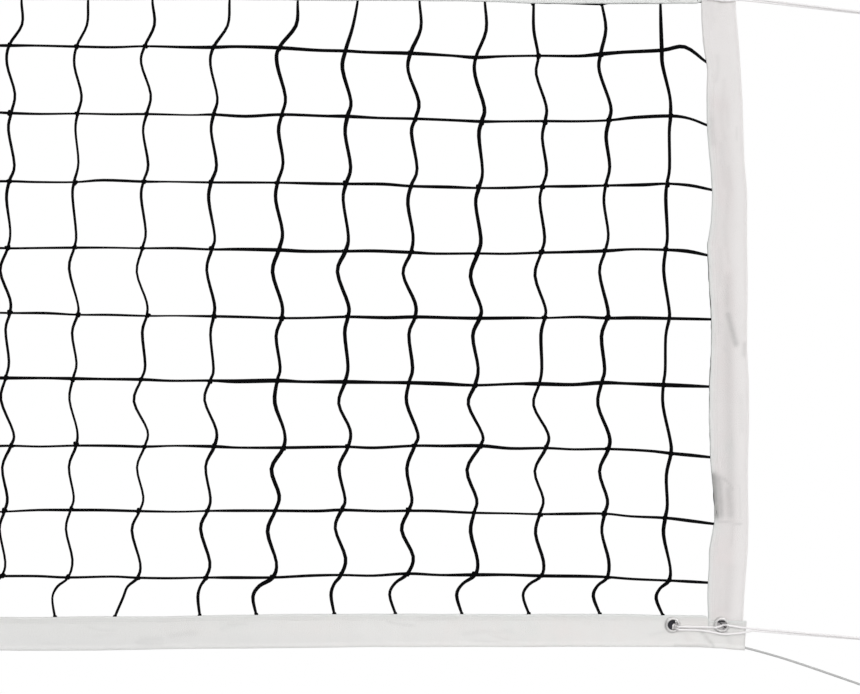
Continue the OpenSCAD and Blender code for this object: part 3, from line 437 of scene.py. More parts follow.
def canvas_tone(tree, settings):
    """Colour of the canvas before its weave: by band, with stains, a cooler mouth edge darkened partly as
    painted shade, painted shade in the creases and round the eyelets, a paler top to the side bands and a
    bottom band darker away from its ends.
    """
    side, crease_shade, edge, hem, fresh, soil = (
        result(tree, "Attribute", output="Fac", attribute_name=name)
        for name in ("side", "crease_shade", "edge", "hem", "fresh", "soil")
    )
    place = object_place(tree)
    long, short = settings.colour, settings.side_colour
    pink = blend(side, tinted(long, (1.01, 0.985, 0.98)), tinted(short, (1, 0.975, 0.975)))
    green = blend(side, tinted(long, (0.965, 0.98, 0.975)), tinted(short, (0.96, 0.985, 0.98)))
    tone = blend(ramp(noise(place, 9, 4, 0.6), 0.42, 0.7), blend(side, long, short), pink)
    tone = blend(ramp(noise(place, 14, 5, 0.6), 0.5, 0.75), tone, green)
    # Cooler and a little darker near the mouth, partly as painted shade where the cloth folds in.
    tone = blend(edge, tone, tinted(long, (0.955, 0.985, 0.985)))
    tone = blend(highest(hem * side, fresh), tone, tinted(short, (1.07, 1.08, 1.08)))
    # The bottom band's canvas is darker away from its ends, and its hem more so.
    tone = blend(soil, tone, tinted(long, (0.935, 0.94, 0.94)))
    tone = blend(hem * soil * 0.8, tone, tinted(long, (0.93, 0.935, 0.94)))
    # Painted shade in the creases, a little patchy.
    tone = blend(crease_shade * ramp(noise(place, 260, 3), 0.1, 0.6, 0.75, 1), tone, settings.shade)
    away, heights = eyelet_places()
    # Painted shadow round each eyelet, strongest on its side towards the middle of the net.
    rings = [use_group(tree, "Ring shadow", away=x, height=z)["Mark"] for x in away for z in heights]
    return blend(highest(*rings) * 0.5, tone, settings.shade), crease_shade


def canvas_material(settings):
    material, tree, shader = surface(
        "band_canvas", Roughness=0.9, Specular_IOR_Level=0.2, Sheen_Weight=0.15, Sheen_Roughness=0.5
    )
    weave = use_group(tree, "Canvas weave", threads=1300)
    grain = use_group(tree, "Surface grain", scale=300, patch=7)
    tone, crease_shade = canvas_tone(tree, settings)
    woven = blend(ramp(weave["Shade"], 0.1, 0.8), blend(0.94, (0, 0, 0), tone), tone)
    rows = [use_group(tree, "Stitch row", place=place) for place in STITCH_PLACES]
    thread, pinch = (highest(*(row[part] for row in rows)) for part in ("Thread", "Pinch"))
    seen_thread = thread * ramp(crease_shade, 0, 0.3, 0.35, 0)
    finish(shader, Base_Color=blend(seen_thread, woven, STITCH_THREAD))
    bump(shader, weave["Height"] + thread * 1.5 - pinch * 1.2 + grain["Height"] * 0.8, 0.0003)
    return material


def cord_material(name, colour, strands, lay):
    material, tree, shader = surface(name, Roughness=0.75, Specular_IOR_Level=0.3, Sheen_Weight=0.1)
    braid = use_group(tree, "Cord braid", strands=strands, lay=lay)["Height"]
    grain = use_group(tree, "Surface grain", scale=3000, patch=20)
    # Painted shade: the braid's grooves are darker than its crowns.
    tone = ramp(braid + grain["Patch"] * 0.4, 0.4, 1.1)
    finish(shader, Base_Color=blend(tone, tinted(colour, 0.8), colour))
    bump(shader, braid + grain["Height"] * 0.2, 0.0004)
    return material


def metal_material(name, colour, roughness, patch=30):
    """Plated or bare metal with faint clouding, fine scratches and brighter rubbed edges."""
    material, tree, shader = surface(name, Metallic=1)
    grain = use_group(tree, "Surface grain", scale=700, patch=patch)
    wear = use_group(tree, "Edge wear", rub=0.3)
    clouded = blend(ramp(grain["Patch"], 0.3, 0.7), tinted(colour, 0.72), colour)
    rubbed = blend(wear["Bare"], clouded, tinted(colour, 1.25))
    finish(
        shader, Base_Color=blend(wear["Dust"] * 0.25, rubbed, DUST),
        Roughness=grain["Patch"] * 0.2 + (roughness - 0.1) + wear["Dust"] * 0.2,
    )
    bump(shader, grain["Height"], 0.00008, 0.0009)
    return material


def drawn_material(name, colour):
    """Anodised tube with fine lines along it and a height scale."""
    material, tree, shader = surface(name)
    drawn = use_group(tree, "Drawn lines")
    mark = use_group(tree, "Height scale", axis=POST_X)["Mark"]
    tone = ramp(drawn["Height"] * 0.5 + drawn["Patch"] * 0.5, 0.3, 0.7)
    finish(
        shader, Base_Color=blend(mark, blend(tone, tinted(colour, 0.8), colour), SCALE_INK),
        Metallic=1 - mark, Roughness=drawn["Height"] * 0.2 + 0.27,
    )
    bump(shader, drawn["Height"], 0.00006)
    return material


def paint_material(name, colour, grain_depth):
    """Powder coat: orange peel, dust on top and metal where edges have rubbed through."""
    material, tree, shader = surface(name, Specular_IOR_Level=0.5)
    grain = use_group(tree, "Surface grain", scale=520, patch=5)
    wear = use_group(tree, "Edge wear", rub=0.35)
    tone = blend(ramp(grain["Patch"], 0.35, 0.7), colour, tinted(colour, 1.07, 0.001))
    dusty = blend(wear["Dust"] * 0.025, tone, PAINT_DUST)
    finish(
        shader, Base_Color=blend(wear["Bare"], dusty, BARE_STEEL), Metallic=wear["Bare"] * 0.9,
        Roughness=grain["Patch"] * 0.12 + 0.38 + wear["Dust"] * 0.12,
    )
    bump(shader, grain["Height"], grain_depth, 0.0012)
    return material


def moulded_material(name, colour, roughness):
    """Moulded plastic or rubber with fine grain and settled dust."""
    material, tree, shader = surface(name, Specular_IOR_Level=0.4)
    grain = use_group(tree, "Surface grain", scale=1500, patch=11)
    wear = use_group(tree, "Edge wear", rub=0.45)
    tone = blend(ramp(grain["Patch"], 0.4, 0.75), colour, tinted(colour, 1.9, 0.006))
    scuffed = blend(wear["Bare"] * 0.5, tone, tinted(colour, 3, 0.03))
    finish(
        shader, Base_Color=blend(wear["Dust"] * 0.12, scuffed, RUBBER_DUST),
        Roughness=grain["Patch"] * 0.16 + (roughness - 0.08),
    )
    bump(shader, grain["Height"], 0.00012, 0.0012)
    return material


# ---- Mesh code ----


def new_piece(name, parts, body, slot, material=None):
    """Makes a smooth mesh piece of lots of vertices, quads and corners, and lets it ride on a body.

    It has the plain material that the frame names after its slot, unless another one is given."""
    points, faces, corners = join(parts)
    mesh = bpy.data.meshes.new(name)
    mesh.from_pydata(points.tolist(), [], faces.tolist())
    mesh.uv_layers.new(name="cloth").data.foreach_set("uv", corners.astype(np.float32).ravel())
    mesh.materials.append(material or bpy.data.materials[slot])
    mesh.shade_smooth()
    piece = bpy.data.objects.new(name, mesh)
    bpy.context.scene.collection.objects.link(piece)
    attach(piece, body)
    return piece


def join(parts):
    """Several lots of vertices, quads and corner coordinates as one."""
    points, faces, corners = zip(*parts)
    starts = np.cumsum([0] + [len(lot) for lot in points])
    faces = [lot + start for lot, start in zip(faces, starts)]
    return np.concatenate(points), np.concatenate(faces), np.concatenate(corners)


def unit(vectors):
    return vectors / np.linalg.norm(vectors, axis=-1, keepdims=True)


def reach_along(points):
    """Distance along a path at each of its points."""
    gaps = np.linalg.norm(np.diff(points, axis=0), axis=1)
    return np.concatenate([[0], np.cumsum(gaps)])


def round_angles(count):
    return TURN * np.arange(count) / count


def turned(points, angle, first=0, second=2):
    """Points turned by an angle about the axis that is neither of the two given."""
    matrix = np.identity(3)
    matrix[first, first] = matrix[second, second] = math.cos(angle)
    matrix[second, first] = math.sin(angle)
    matrix[first, second] = -math.sin(angle)
    return points @ matrix


def mirrored(side, points):
    return np.asarray(points, float) * (side, 1, 1)


def quad_corners(side, sides, low, high):
    """Surface coordinates of quads' corners: round the shape as a share, and along it in metres."""
    left, right = side / sides, (side + 1) / sides
    corners = [np.stack(pair, -1) for pair in ((left, low), (right, low), (right, high), (left, high))]
    return np.stack(corners, -2).reshape(-1, 2)


def sweep(paths, radii, sides, reference=(0, 1, 0), closed=False):
    """Tubes along paths that all have as many points: their vertices, quads and corner coordinates.

    The reference direction is one that no path runs along."""
    paths = np.asarray(paths, float)
    count, length = paths.shape[:2]
    radii = np.broadcast_to(radii, (count, length))
    ahead, behind = np.roll(paths, -1, 1), np.roll(paths, 1, 1)
    gaps = np.linalg.norm(ahead - paths, axis=-1)
    if not closed:
        ahead[:, -1] = 2 * paths[:, -1] - paths[:, -2]
        behind[:, 0] = 2 * paths[:, 0] - paths[:, 1]
    along = unit(ahead - behind)
    across = unit(np.cross(along, reference))
    up = np.cross(across, along)
    turn = round_angles(sides)[None, None, :, None]
    ring = np.cos(turn) * across[:, :, None] + np.sin(turn) * up[:, :, None]
    points = paths[:, :, None] + radii[:, :, None, None] * ring
    spans = length if closed else length - 1
    strand, step, side = np.meshgrid(np.arange(count), np.arange(spans), np.arange(sides), indexing="ij")
    beside = (side + 1) % sides
    first = (strand * length + step) * sides
    second = (strand * length + (step + 1) % length) * sides
    faces = np.stack([first + side, first + beside, second + beside, second + side], -1).reshape(-1, 4)
    reach = np.concatenate([np.zeros((count, 1)), np.cumsum(gaps, 1)], 1)
    corners = quad_corners(side, sides, reach[strand, step], reach[strand, step + 1])
    return points.reshape(-1, 3), faces, corners


def lathe(profile, sides, place, axis="Y"):
    """A turned shape: the profile's (radius, height) points turned about an axis through a place."""
    profile = np.asarray(profile, float)
    turn = round_angles(sides)
    radius, height = profile.T[:, :, None]
    flat = np.stack(np.broadcast_arrays(radius * np.cos(turn), height, radius * np.sin(turn)), -1)
    order = {"Y": (0, 1, 2), "Z": (0, 2, 1)}[axis]
    rows = len(profile)
    row, side = np.meshgrid(np.arange(rows), np.arange(sides), indexing="ij")
    first, second = row * sides, (row + 1) % rows * sides
    beside = (side + 1) % sides
    faces = np.stack([first + side, first + beside, second + beside, second + side], -1).reshape(-1, 4)
    reach = reach_along(np.concatenate([profile, profile[:1]]))
    points = (flat[..., order] + np.asarray(place, float)).reshape(-1, 3)
    return points, faces, quad_corners(side, sides, reach[row], reach[row + 1])


def smooth_path(points, per_span):
    """A curve through given points, with as many steps between each two."""
    points = np.asarray(points, float)
    padded = np.concatenate([[2 * points[0] - points[1]], points, [2 * points[-1] - points[-2]]])
    share = np.linspace(0, 1, per_span, endpoint=False)[:, None]
    lines = []
    for a, b, c, d in zip(padded, padded[1:], padded[2:], padded[3:]):
        bend = (2 * a - 5 * b + 4 * c - d) * share**2 + (3 * b - a - 3 * c + d) * share**3
        lines.append(0.5 * (2 * b + (c - a) * share + bend))
    return np.concatenate([*lines, points[-1:]])


def even_path(points, step):
    """The same path with even steps."""
    points = np.asarray(points, float)
    reach = reach_along(points)
    places = np.linspace(0, reach[-1], max(2, int(reach[-1] / step)))
    return np.stack([np.interp(places, reach, points[:, i]) for i in range(3)], -1)


def ring_path(middle, radius, count, axis="Z"):
    """Points round a circle about an axis through its middle."""
    turn = round_angles(count)
    flat = np.stack([radius * np.cos(turn), radius * np.sin(turn), 0 * turn], -1)
    order = {"Y": (0, 2, 1), "Z": (0, 1, 2)}[axis]
    return flat[:, order] + np.asarray(middle, float)


def step_at(values, place, width):
    """A share that rises smoothly from 0 to 1 where the values pass a place."""
    share = np.clip((np.asarray(values) - place) / width, 0, 1)
    return share * share * (3 - 2 * share)


# ---- Netting ----

# One value for each of the eleven columns nearest the right-hand end, from that end; the others repeat them.
# Shifts are in millimetres: of a column, of its strand's end in the top band, and of that in the bottom band.
# Weights are shares of the twine's radius: of an upright strand, and of the level spans to its right.
COLUMN_SHIFT = (-3.5, 3, 7, 9, 9, 9.5, 8, 6, 2.5, -2, -3)
COLUMN_BOW = (0.4, 0.8, 0.95, 1.1, 1.1, 1.0, 1.05, 0.9, 1.0, 0.85, 0.9)
COLUMN_WEIGHT = (1.05, 1.13, 1.04, 1.13, 1.11, 1.2, 1.13, 0.97, 0.87, 0.75, 0.85)
SPAN_WEIGHT = (1.07, 0.97, 0.89, 1.09, 1.12, 0.99, 1.02, 0.77, 0.9, 0.83, 0.88)
HEAD_SHIFT = (-2, 2, -7, 14, 14, 18, 28, 24, 12, 17, 19)
HEAD_BULGE = (0, 7, -3, 8, 8, 1, 10, 8, 8, 6, 9)
FOOT_SHIFT = (-9, -11, -19, -20, -18, -10, -25, -9, -34, -20, -16)
FOOT_BULGE = (-19, -21, -28, -28, -27, -15, -30, -12, -22, -24, -22)

# One value for each row of knots, from the bottom one up, in millimetres: its slide to the right, how far
# its ends are pulled outwards, and its hang below an even grid at a few distances from the end of the bands.
ROW_SLIDE = (-9.5, -6, 5, -1.8, 4, 0, 0.2, 5, 2.5)
ROW_PULL = (13, 4, 0, -3, 0, 0, 0, 0, -11)
ROW_HANG = {
    60: (10, 21, 20, 13, 11, 14, 15, 17, 21),
    115: (6, 12, 14.5, 10, 10, 6.5, 5, 3.5, 4),
    215: (1, 6, 8, 6, 9, 7, 7, 8.5, 9),
    405: (-1.5, 4, 4, 11, 9.5, 11.5, 12.5, 12, 14),
    550: (-5, -0.5, 2.5, 6, 7, 9, 8.5, 5, 7),
    700: (3, 1, 6, 4.5, 9, 6, 4, 0.5, -0.5),
    1120: (0.5, 2, 2, -0.5, 1.5, 2.5, 2.5, -1.5, -3.5),
}
# How far a row's last strand rises above a straight line before it dips into the side band, in millimetres,
# and the weight of its twine.
ROW_HUMP = (0, 0, 0, 0, 0, 2, 2, 3, 14)
ROW_WEIGHT = (0.95, 0.9, 1.0, 1.15, 0.95, 1.0, 0.9, 0.95, 1.05)
ROW_END = 60 * MM

# How high the mouth of the top band lies above its end's: distance from the end of the bands and rise. Then
# the stretch of the top edge twine that has slipped out of it: distance and height of its middle above the
# mouth. Then the distances of the knots in that stretch and of the corner knots, and their heights above the
# mouth. All are in millimetres.
MOUTH_LIFT = (
    (0, 0), (200, 0.3), (320, 0.8), (372, 3), (420, 3.9), (520, 4.5), (640, 5), (700, 5.8), (900, 6.3),
)
LOOSE_TWINE = (
    (112, 2.4), (135, 1), (200, 0.9), (211, 0.1), (219, -1.4),
    (245, -0.8), (275, 0.2), (304, 0.9), (340, 2.4),
)
LOOSE_KNOTS = (219, 323)
LOOSE_KNOT_RISE = -0.8
CORNER_KNOT = (73, 3.6)

# One value for each cell between two rows, from the bottom one up: how far an upright strand bows in
# millimetres, to the left below its upper knot and to the right above its lower one.
LEFT_BOW = (8.5, 11.5, 9.5, 6, 11, 3.5, 3, 5)
RIGHT_BOW = (6, 3, 4.5, 3.5, 1.5, 4.5, 6.5, 6)

SPAN_STEPS = 4
MOUTH_DEPTH = 5 * MM
THINNEST, THICKEST = 1.15 * MM, 3.5 * MM
AT_MOUTH, BEHIND_MOUTH, IN_HEM = 2.0 * MM, 1.1 * MM, 0.5 * MM
EDGE_TWINE_R, LOOSE_TWINE_R = 1.3 * MM, 1.35 * MM


def of_column(values, column):
    """A column's own value from a list that starts at the right-hand end and repeats."""
    return values[(MESH_COLUMNS - 1 - column) % len(values)]


def row_hang(away, row):
    """How far a row hangs below an even grid at a distance from the end of the bands."""
    hangs = [rows[row - 1] * MM for rows in ROW_HANG.values()]
    return np.interp(away, [stop * MM for stop in ROW_HANG], hangs)


def mouth_lift(away):
    """How far the mouth of the top band lies above its end's at a distance from the end of the bands."""
    stops, rises = np.array(MOUTH_LIFT).T * MM
    return np.interp(away, stops, rises)


def knot_places(settings):
    """The knots of the netting as X and Z by [column, row], for the columns and rows between the bands."""
    draw = np.random.default_rng(settings.seed)
    x, z = np.zeros((2, MESH_COLUMNS, MESH_ROWS))
    for column in range(1, MESH_COLUMNS):
        even = (column - MESH_COLUMNS / 2) * settings.pitch
        near_end = np.clip((abs(even) - BAND_END + 0.72) / 0.6, 0, 1)
        for row in range(1, MESH_ROWS):
            pull = ROW_PULL[row - 1] * near_end * math.copysign(1, even)
            shift = of_column(COLUMN_SHIFT, column) + ROW_SLIDE[row - 1] + pull
            x[column, row] = even + shift * MM + draw.normal(0, 1) * MM
            hang = row_hang(BAND_END - abs(even), row)
            z[column, row] = NET_BOTTOM_Z + row * settings.pitch - hang + draw.normal(0, 0.6) * MM
    return x, z


def bottom_mouth_z(x):
    """Height of the bottom band's mouth at a distance from the middle of the net."""
    return BOTTOM_EDGE_Z + float(bottom_edges(BAND_END - abs(x))[1])


def upright_strand(draw, x, z, column, settings):
    """Points and radii down one upright strand, from inside the top band to inside the bottom band."""
    weight = settings.twine * of_column(COLUMN_WEIGHT, column) * draw.uniform(0.94, 1.06)

    def point(px, pz, share=1.0, depth=1.0):
        radius = np.clip(weight * share * draw.uniform(0.86, 1.14), THINNEST, THICKEST)
        return (px, depth * draw.normal(0, 0.7) * MM, pz, radius)

    x, z = x[column], z[column]
    top, foot = MESH_ROWS - 1, 1
    shift, bulge = of_column(HEAD_SHIFT, column) * MM, of_column(HEAD_BULGE, column) * MM
    reach = TOP_MOUTH_Z - z[top]
    points = [
        (x[top] + shift, 0, TOP_MOUTH_Z + 3.6 * MOUTH_DEPTH, IN_HEM),
        (x[top] + shift, 0, TOP_MOUTH_Z + 2.4 * MOUTH_DEPTH, BEHIND_MOUTH),
        (x[top] + shift, 0, TOP_MOUTH_Z, AT_MOUTH),
        point(x[top] + 0.55 * shift + bulge, z[top] + 0.5 * reach),
        point(x[top], z[top], 1.1),
    ]
    size = settings.bow * of_column(COLUMN_BOW, column)
    for row in range(top, foot, -1):
        high, low = np.array((x[row], z[row])), np.array((x[row - 1], z[row - 1]))
        left, right = LEFT_BOW[row - 2], RIGHT_BOW[row - 2]
        left_bow = left * size * draw.uniform(0.6, 1.35) * MM
        right_bow = right * size * draw.uniform(0.6, 1.35) * MM
        at_left = high + (low - high) * (0.2 + 0.012 * left + draw.uniform(-0.03, 0.03))
        at_right = high + (low - high) * (0.83 - 0.014 * right + draw.uniform(-0.04, 0.04))
        points += [
            point(at_left[0] - left_bow, at_left[1]),
            point(at_right[0] + right_bow, at_right[1], 0.95),
            point(low[0], low[1], 1.08),
        ]
    shift, bulge = of_column(FOOT_SHIFT, column) * MM, of_column(FOOT_BULGE, column) * MM
    mouth_z = bottom_mouth_z(x[foot] + shift)
    reach = z[foot] - mouth_z
    points += [
        point(x[foot] + 0.68 * bulge, z[foot] - 0.23 * reach, 0.95),
        point(x[foot] + bulge, z[foot] - 0.52 * reach, 0.95, 0.5),
        (x[foot] + shift, 0, mouth_z, AT_MOUTH),
        (x[foot] + shift + 1.2 * MM, 0, mouth_z - MOUTH_DEPTH, BEHIND_MOUTH),
        (x[foot] + shift + 1.5 * MM, 0, mouth_z - 2 * MOUTH_DEPTH, IN_HEM),
    ]
    return smooth_path(points, SPAN_STEPS)


def level_strand(draw, x, z, row, settings):
    """Points and radii along one level strand, from inside the left side band to inside the right one."""
    weight = settings.twine * ROW_WEIGHT[row - 1]
    end_z = NET_BOTTOM_Z + row * settings.pitch - row_hang(ROW_END, row)
    end_x = BAND_END - float(side_edges(end_z)[1])
    x, z = x[:, row], z[:, row]

    def point(px, pz, share=1.0):
        radius = np.clip(weight * share * draw.uniform(0.78, 1.22), THINNEST, THICKEST)
        return (px, draw.normal(0, 0.4) * MM, pz, radius)

    def end(side, last):
        """The end in a side band and the rise before it, from the outside in."""
        middle_z = (z[last] + end_z) / 2 + ROW_HUMP[row - 1] * MM
        return [
            (side * (end_x + 2 * MOUTH_DEPTH), 0, end_z, IN_HEM),
            (side * (end_x + MOUTH_DEPTH), 0, end_z, BEHIND_MOUTH),
            (side * end_x, 0, end_z, AT_MOUTH),
            point(x[last] + 0.52 * (side * end_x - x[last]), middle_z),
        ]

    points = end(-1, 1)
    for column in range(1, MESH_COLUMNS):
        span, next_span = of_column(SPAN_WEIGHT, column), of_column(SPAN_WEIGHT, column + 1)
        points.append(point(x[column], z[column], (span + next_span) / 2))
        if column < MESH_COLUMNS - 1:
            middle_x = x[column] + draw.uniform(0.35, 0.65) * (x[column + 1] - x[column])
            middle_z = (z[column] + z[column + 1]) / 2 + draw.normal(-0.3, 1.1) * MM
            points.append(point(middle_x, middle_z, 0.95 * next_span))
    return smooth_path(points + end(1, -1)[::-1], SPAN_STEPS)


def mouth_strand(draw):
    """The netting's top edge twine, which shows here and there below the mouth of the top band."""
    count = 3 * MESH_COLUMNS
    across = np.linspace(-1, 1, count) * (BAND_END - 66 * MM)
    height = TOP_MOUTH_Z + 1.7 * mouth_lift(BAND_END - np.abs(across)) + draw.uniform(-0.8, 3.2, count) * MM
    return smooth_path([(at, 0, rise, EDGE_TWINE_R) for at, rise in zip(across, height)], SPAN_STEPS)


def mouth_place(side, away, rise):
    """A place at a distance from a side's end and at a height above the mouth of the top band."""
    return (side * (BAND_END - away * MM), 0, TOP_MOUTH_Z + mouth_lift(away * MM) + rise * MM)


def loose_strand(side):
    """The stretch of the top edge twine that has slipped out of the top band's mouth."""
    points = [(*mouth_place(side, away, rise), LOOSE_TWINE_R) for away, rise in LOOSE_TWINE]
    return smooth_path(points, SPAN_STEPS)


def side_mouth_strand(draw, side):
    """The netting's end twine, which shows as a thin dark line beside the mouth of a side band, partly
    standing in for the shade at the fold's edge.
    """
    rise = np.linspace(SIDE_EDGES[0][0], SIDE_EDGES[-1][0], 150) * MM
    shown = step_at(rise, 200 * MM, 30 * MM) - step_at(rise, 600 * MM, 60 * MM)
    peek = (0.55 * shown - 1.5 * (1 - shown)) * MM + [draw.uniform(-0.3, 0.2) * MM for _ in rise]
    x = BAND_END - side_edges(BOTTOM_EDGE_Z + rise)[1] - peek + EDGE_TWINE_R
    points = [(side * at, 0, BOTTOM_EDGE_Z + z, EDGE_TWINE_R) for at, z in zip(x, rise)]
    return smooth_path(points, SPAN_STEPS)


def knot_loops(draw, x, z, settings):
    """Small closed loops of twine pulled tight round each crossing, and smaller ones at the strands' feet."""
    turn = round_angles(18)
    wide = (np.sin(turn) + 2 * np.sin(2 * turn)) / 2.4
    tall = (np.cos(turn) - 2 * np.cos(2 * turn)) / 2.4
    trefoil = np.stack([wide, -np.sin(3 * turn) * 0.55, tall], -1) * settings.knot
    loops = []

    def tie(place, low, high):
        lean = draw.uniform(-0.9, 0.9)
        size = (draw.uniform(low, high), 1, draw.uniform(low, high))
        loops.append(turned(trefoil * size, lean) + place)

    for column in range(1, MESH_COLUMNS):
        for row in range(1, MESH_ROWS):
            off = draw.normal(0, 0.9, 2) * MM
            tie((x[column, row] + off[0], 0, z[column, row] + off[1]), 0.75, 1.25)
        foot_x = x[column, 1] + of_column(FOOT_SHIFT, column) * MM
        tie((foot_x, 0, bottom_mouth_z(foot_x) + 0.5 * MM), 0.35, 0.6)
    for side in SIDES.values():
        tie((side * (BAND_END - CORNER_KNOT[0] * MM), 0, TOP_MOUTH_Z + CORNER_KNOT[1] * MM), 0.3, 0.4)
    for away in LOOSE_KNOTS:
        for side in SIDES.values():
            tie(mouth_place(side, away, LOOSE_KNOT_RISE), 0.55, 0.7)
    return loops


class DressNetting(bpy.types.Operator):
    """Knots the black square netting between the four bands"""

    bl_idname = "volleynet.dress_netting"
    bl_label = "Netting"

    def execute(self, context):
        settings = context.scene.volleynet_netting
        x, z = knot_places(settings)
        draw = np.random.default_rng(settings.seed + 1)
        strands = [
            [upright_strand(draw, x, z, column, settings) for column in range(1, MESH_COLUMNS)],
            [level_strand(draw, x, z, row, settings) for row in range(1, MESH_ROWS)],
            [mouth_strand(draw)],
            [loose_strand(side) for side in SIDES.values()],
            [side_mouth_strand(draw, side) for side in SIDES.values()],
        ]
        parts = [sweep(lines[..., :3], lines[..., 3], 6) for lines in map(np.array, strands)]
        parts.append(sweep(knot_loops(draw, x, z, settings), 0.72 * settings.twine, 5, closed=True))
        piece = new_piece("knotted_netting", parts, NET_BODY, "netting_twine", twine_material(settings))
        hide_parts("netting")
        return {"FINISHED"}


# ---- Bands ----

HEM_POINTS = 9
FACE_POINTS = 19
STITCH_PLACES = (5 * MM, 9 * MM)
LAP = 1.0 * MM
MOUTH_GAP = 2.5 * MM
MOUTH_REACH = 14 * MM
SIDE_HEM_R = 1.6 * MM
SIDE_SLIM = 0.85
CLOTH_HOLE_R = 8.6 * MM
FINE_REACH, FINE_STEP = 14 * MM, 1.2 * MM
# Where the upper part of a side band starts whose canvas is paler: its height, and the height over
# which it fades in.
PALER_Z, PALER_FADE, PALER_SHARE = 2.2, 0.045, 0.85

# The side bands' edges: height above the bottom band's lower edge, then how far the outer and the inner edge
# lie from the end of the bands, in millimetres.
SIDE_EDGES = (
    (20, 4.5, 57.5), (50, 4.5, 57.5), (73, 3.5, 58.5), (148, -2.5, 55.5), (193, -3.5, 47.5),
    (238, -2.5, 49.5), (283, -3, 53.5), (345, -4.5, 55.5), (405, -4, 55.5), (450, -1.5, 52.5),
    (500, -1.5, 52.5), (560, -2, 56.5), (612, -1.5, 58.5), (648, -1.5, 52.5), (690, -1.5, 51),
    (735, 2.5, 54.5), (782, 4, 58.5), (830, 5.5, 59.5), (875, 8.5, 58.5), (920, 11.5, 65.5),
    (965, 15.5, 67.5), (1000, 16.5, 68.5),
)

# The bottom band's edges: distance from its end, then the heights of its lower and upper edge above the lower
# edge of an even band, in millimetres.
BOTTOM_EDGES = (
    (0, -3.6, 49), (24, -1.8, 49), (36, -0.3, 49), (47, 0, 49.2), (70, 1.5, 49.2), (140, 1.9, 49.8),
    (180, 2, 51.3), (570, 1.8, 51.5), (676, 0.2, 51.3), (782, -0.6, 50), (888, -1.4, 47.7),
    (980, -3.9, 47.3), (1100, -4, 46.6), (1250, -2, 49), (1500, 1, 51), (2100, -1, 49),
    (2900, 1.5, 51.5), (3700, -1, 49.5), (4816, 1, 51),
)

# Creases, pressed in and also painted darker as their shade: points as height above the bottom band's lower
# edge (or distance from its end) and distance from the band's outer edge, then half a width, all in
# millimetres, and a strength.
SIDE_CREASES = (
    (((548, 30), (518, 31)), 4.5, 0.24),
    (((560, 29), (500, 30), (400, 29), (300, 28), (200, 29)), 8, 0.17),
    (((505, 30), (487, 25.5), (470, 21), (461, 18)), 5, 0.46),
    (((494, 45), (479, 30)), 2, 0.12),
    (((455, 36), (447, 31)), 3.5, 0.2),
    (((461, 4), (444, 5)), 3, 0.26),
    (((451, 29), (420, 28), (390, 30), (350, 28), (306, 24)), 3, 0.2),
    (((380, 12), (330, 10)), 5, 0.08),
    (((260, 54), (230, 54), (201, 53)), 6.5, 0.88),
    (((256, 47), (225, 46), (203, 46)), 7, 0.5),
    (((257, 38), (247, 28), (241, 25)), 3, 0.36),
    (((240, 31), (203, 30)), 7.5, 0.36),
    (((254, 27), (245, 14), (197, 13)), 1.8, 0.1),
    (((192, 50), (190, 30), (188, 12)), 1.8, 0.26),
    (((120, 22), (60, 26)), 9, 0.1),
    (((700, 30), (640, 34), (610, 30)), 4, 0.1),
    (((860, 28), (800, 34), (770, 30)), 4, 0.08),
    (((800, 50), (765, 48)), 6, 0.17),
    (((762, 36), (700, 33)), 6, 0.1),
)
BOTTOM_CREASES = (
    (((69, 26), (59, 14), (50, 4)), 2.6, 0.3),
    (((95, 24), (88, 12)), 4, 0.08),
    (((108, 3), (84, 2.5), (60, 3)), 2, 0.22),
    (((30, 24), (26, 12)), 4, 0.1),
)


def side_edges(z):
    """How far the outer and the inner edge of a side band lie from the end of the bands at a height."""
    height, outer, inner = np.array(SIDE_EDGES).T * MM
    return np.interp(z - BOTTOM_EDGE_Z, height, outer), np.interp(z - BOTTOM_EDGE_Z, height, inner)


def bottom_edges(away):
    """Heights of the bottom band's lower and upper edge above an even band's lower edge, along the band."""
    stops, lower, upper = np.array(BOTTOM_EDGES).T * MM
    return np.interp(away, stops, lower), np.interp(away, stops, upper)


def hem_radius(box, settings):
    return (box[1].y - box[0].y - settings.cloth) / 2


def section_points(width, hem_r):
    """Points across a folded band, as distance from its outer edge and depth, from mouth to mouth."""
    reach = np.linspace(width, 2 * hem_r + 1.5 * MM, FACE_POINTS)
    gap = LAP + (MOUTH_GAP - LAP) * np.clip((reach - width + MOUTH_REACH) / MOUTH_REACH, 0, 1) ** 2
    turn = np.linspace(-0.8, 0.8, HEM_POINTS) * math.pi
    hem = np.stack([hem_r - hem_r * np.cos(turn), hem_r * np.sin(turn)], -1)
    return np.concatenate([np.stack([reach, -gap], -1), hem, np.stack([reach, gap], -1)[::-1]])


def waves(draw, along, shortest=0.05, longest=0.6, count=6):
    """Smooth random waves along a band, a sum of a few sines."""
    lengths = np.exp(draw.uniform(math.log(shortest), math.log(longest), count))
    phases = draw.uniform(0, TURN, count)
    sizes = draw.uniform(0.4, 1, count)
    return (sizes / sizes.sum() * np.sin(TURN * along[:, None] / lengths + phases)).sum(-1)[:, None]


def random_creases(draw, start, end, width, count):
    """Short soft creases here and there, mostly along the band."""
    creases = []
    for _ in range(count):
        at, inward = draw.uniform(start, end), draw.uniform(0.15, 0.9) * width
        length, slant = draw.uniform(8, 60) * MM, draw.normal(0, 4) * MM
        points = ((at, inward), (at + length / 2, inward + slant), (at + length, inward + 1.4 * slant))
        creases.append((points, draw.uniform(1.5, 4.5) * MM, draw.uniform(0.01, 0.12)))
    return creases


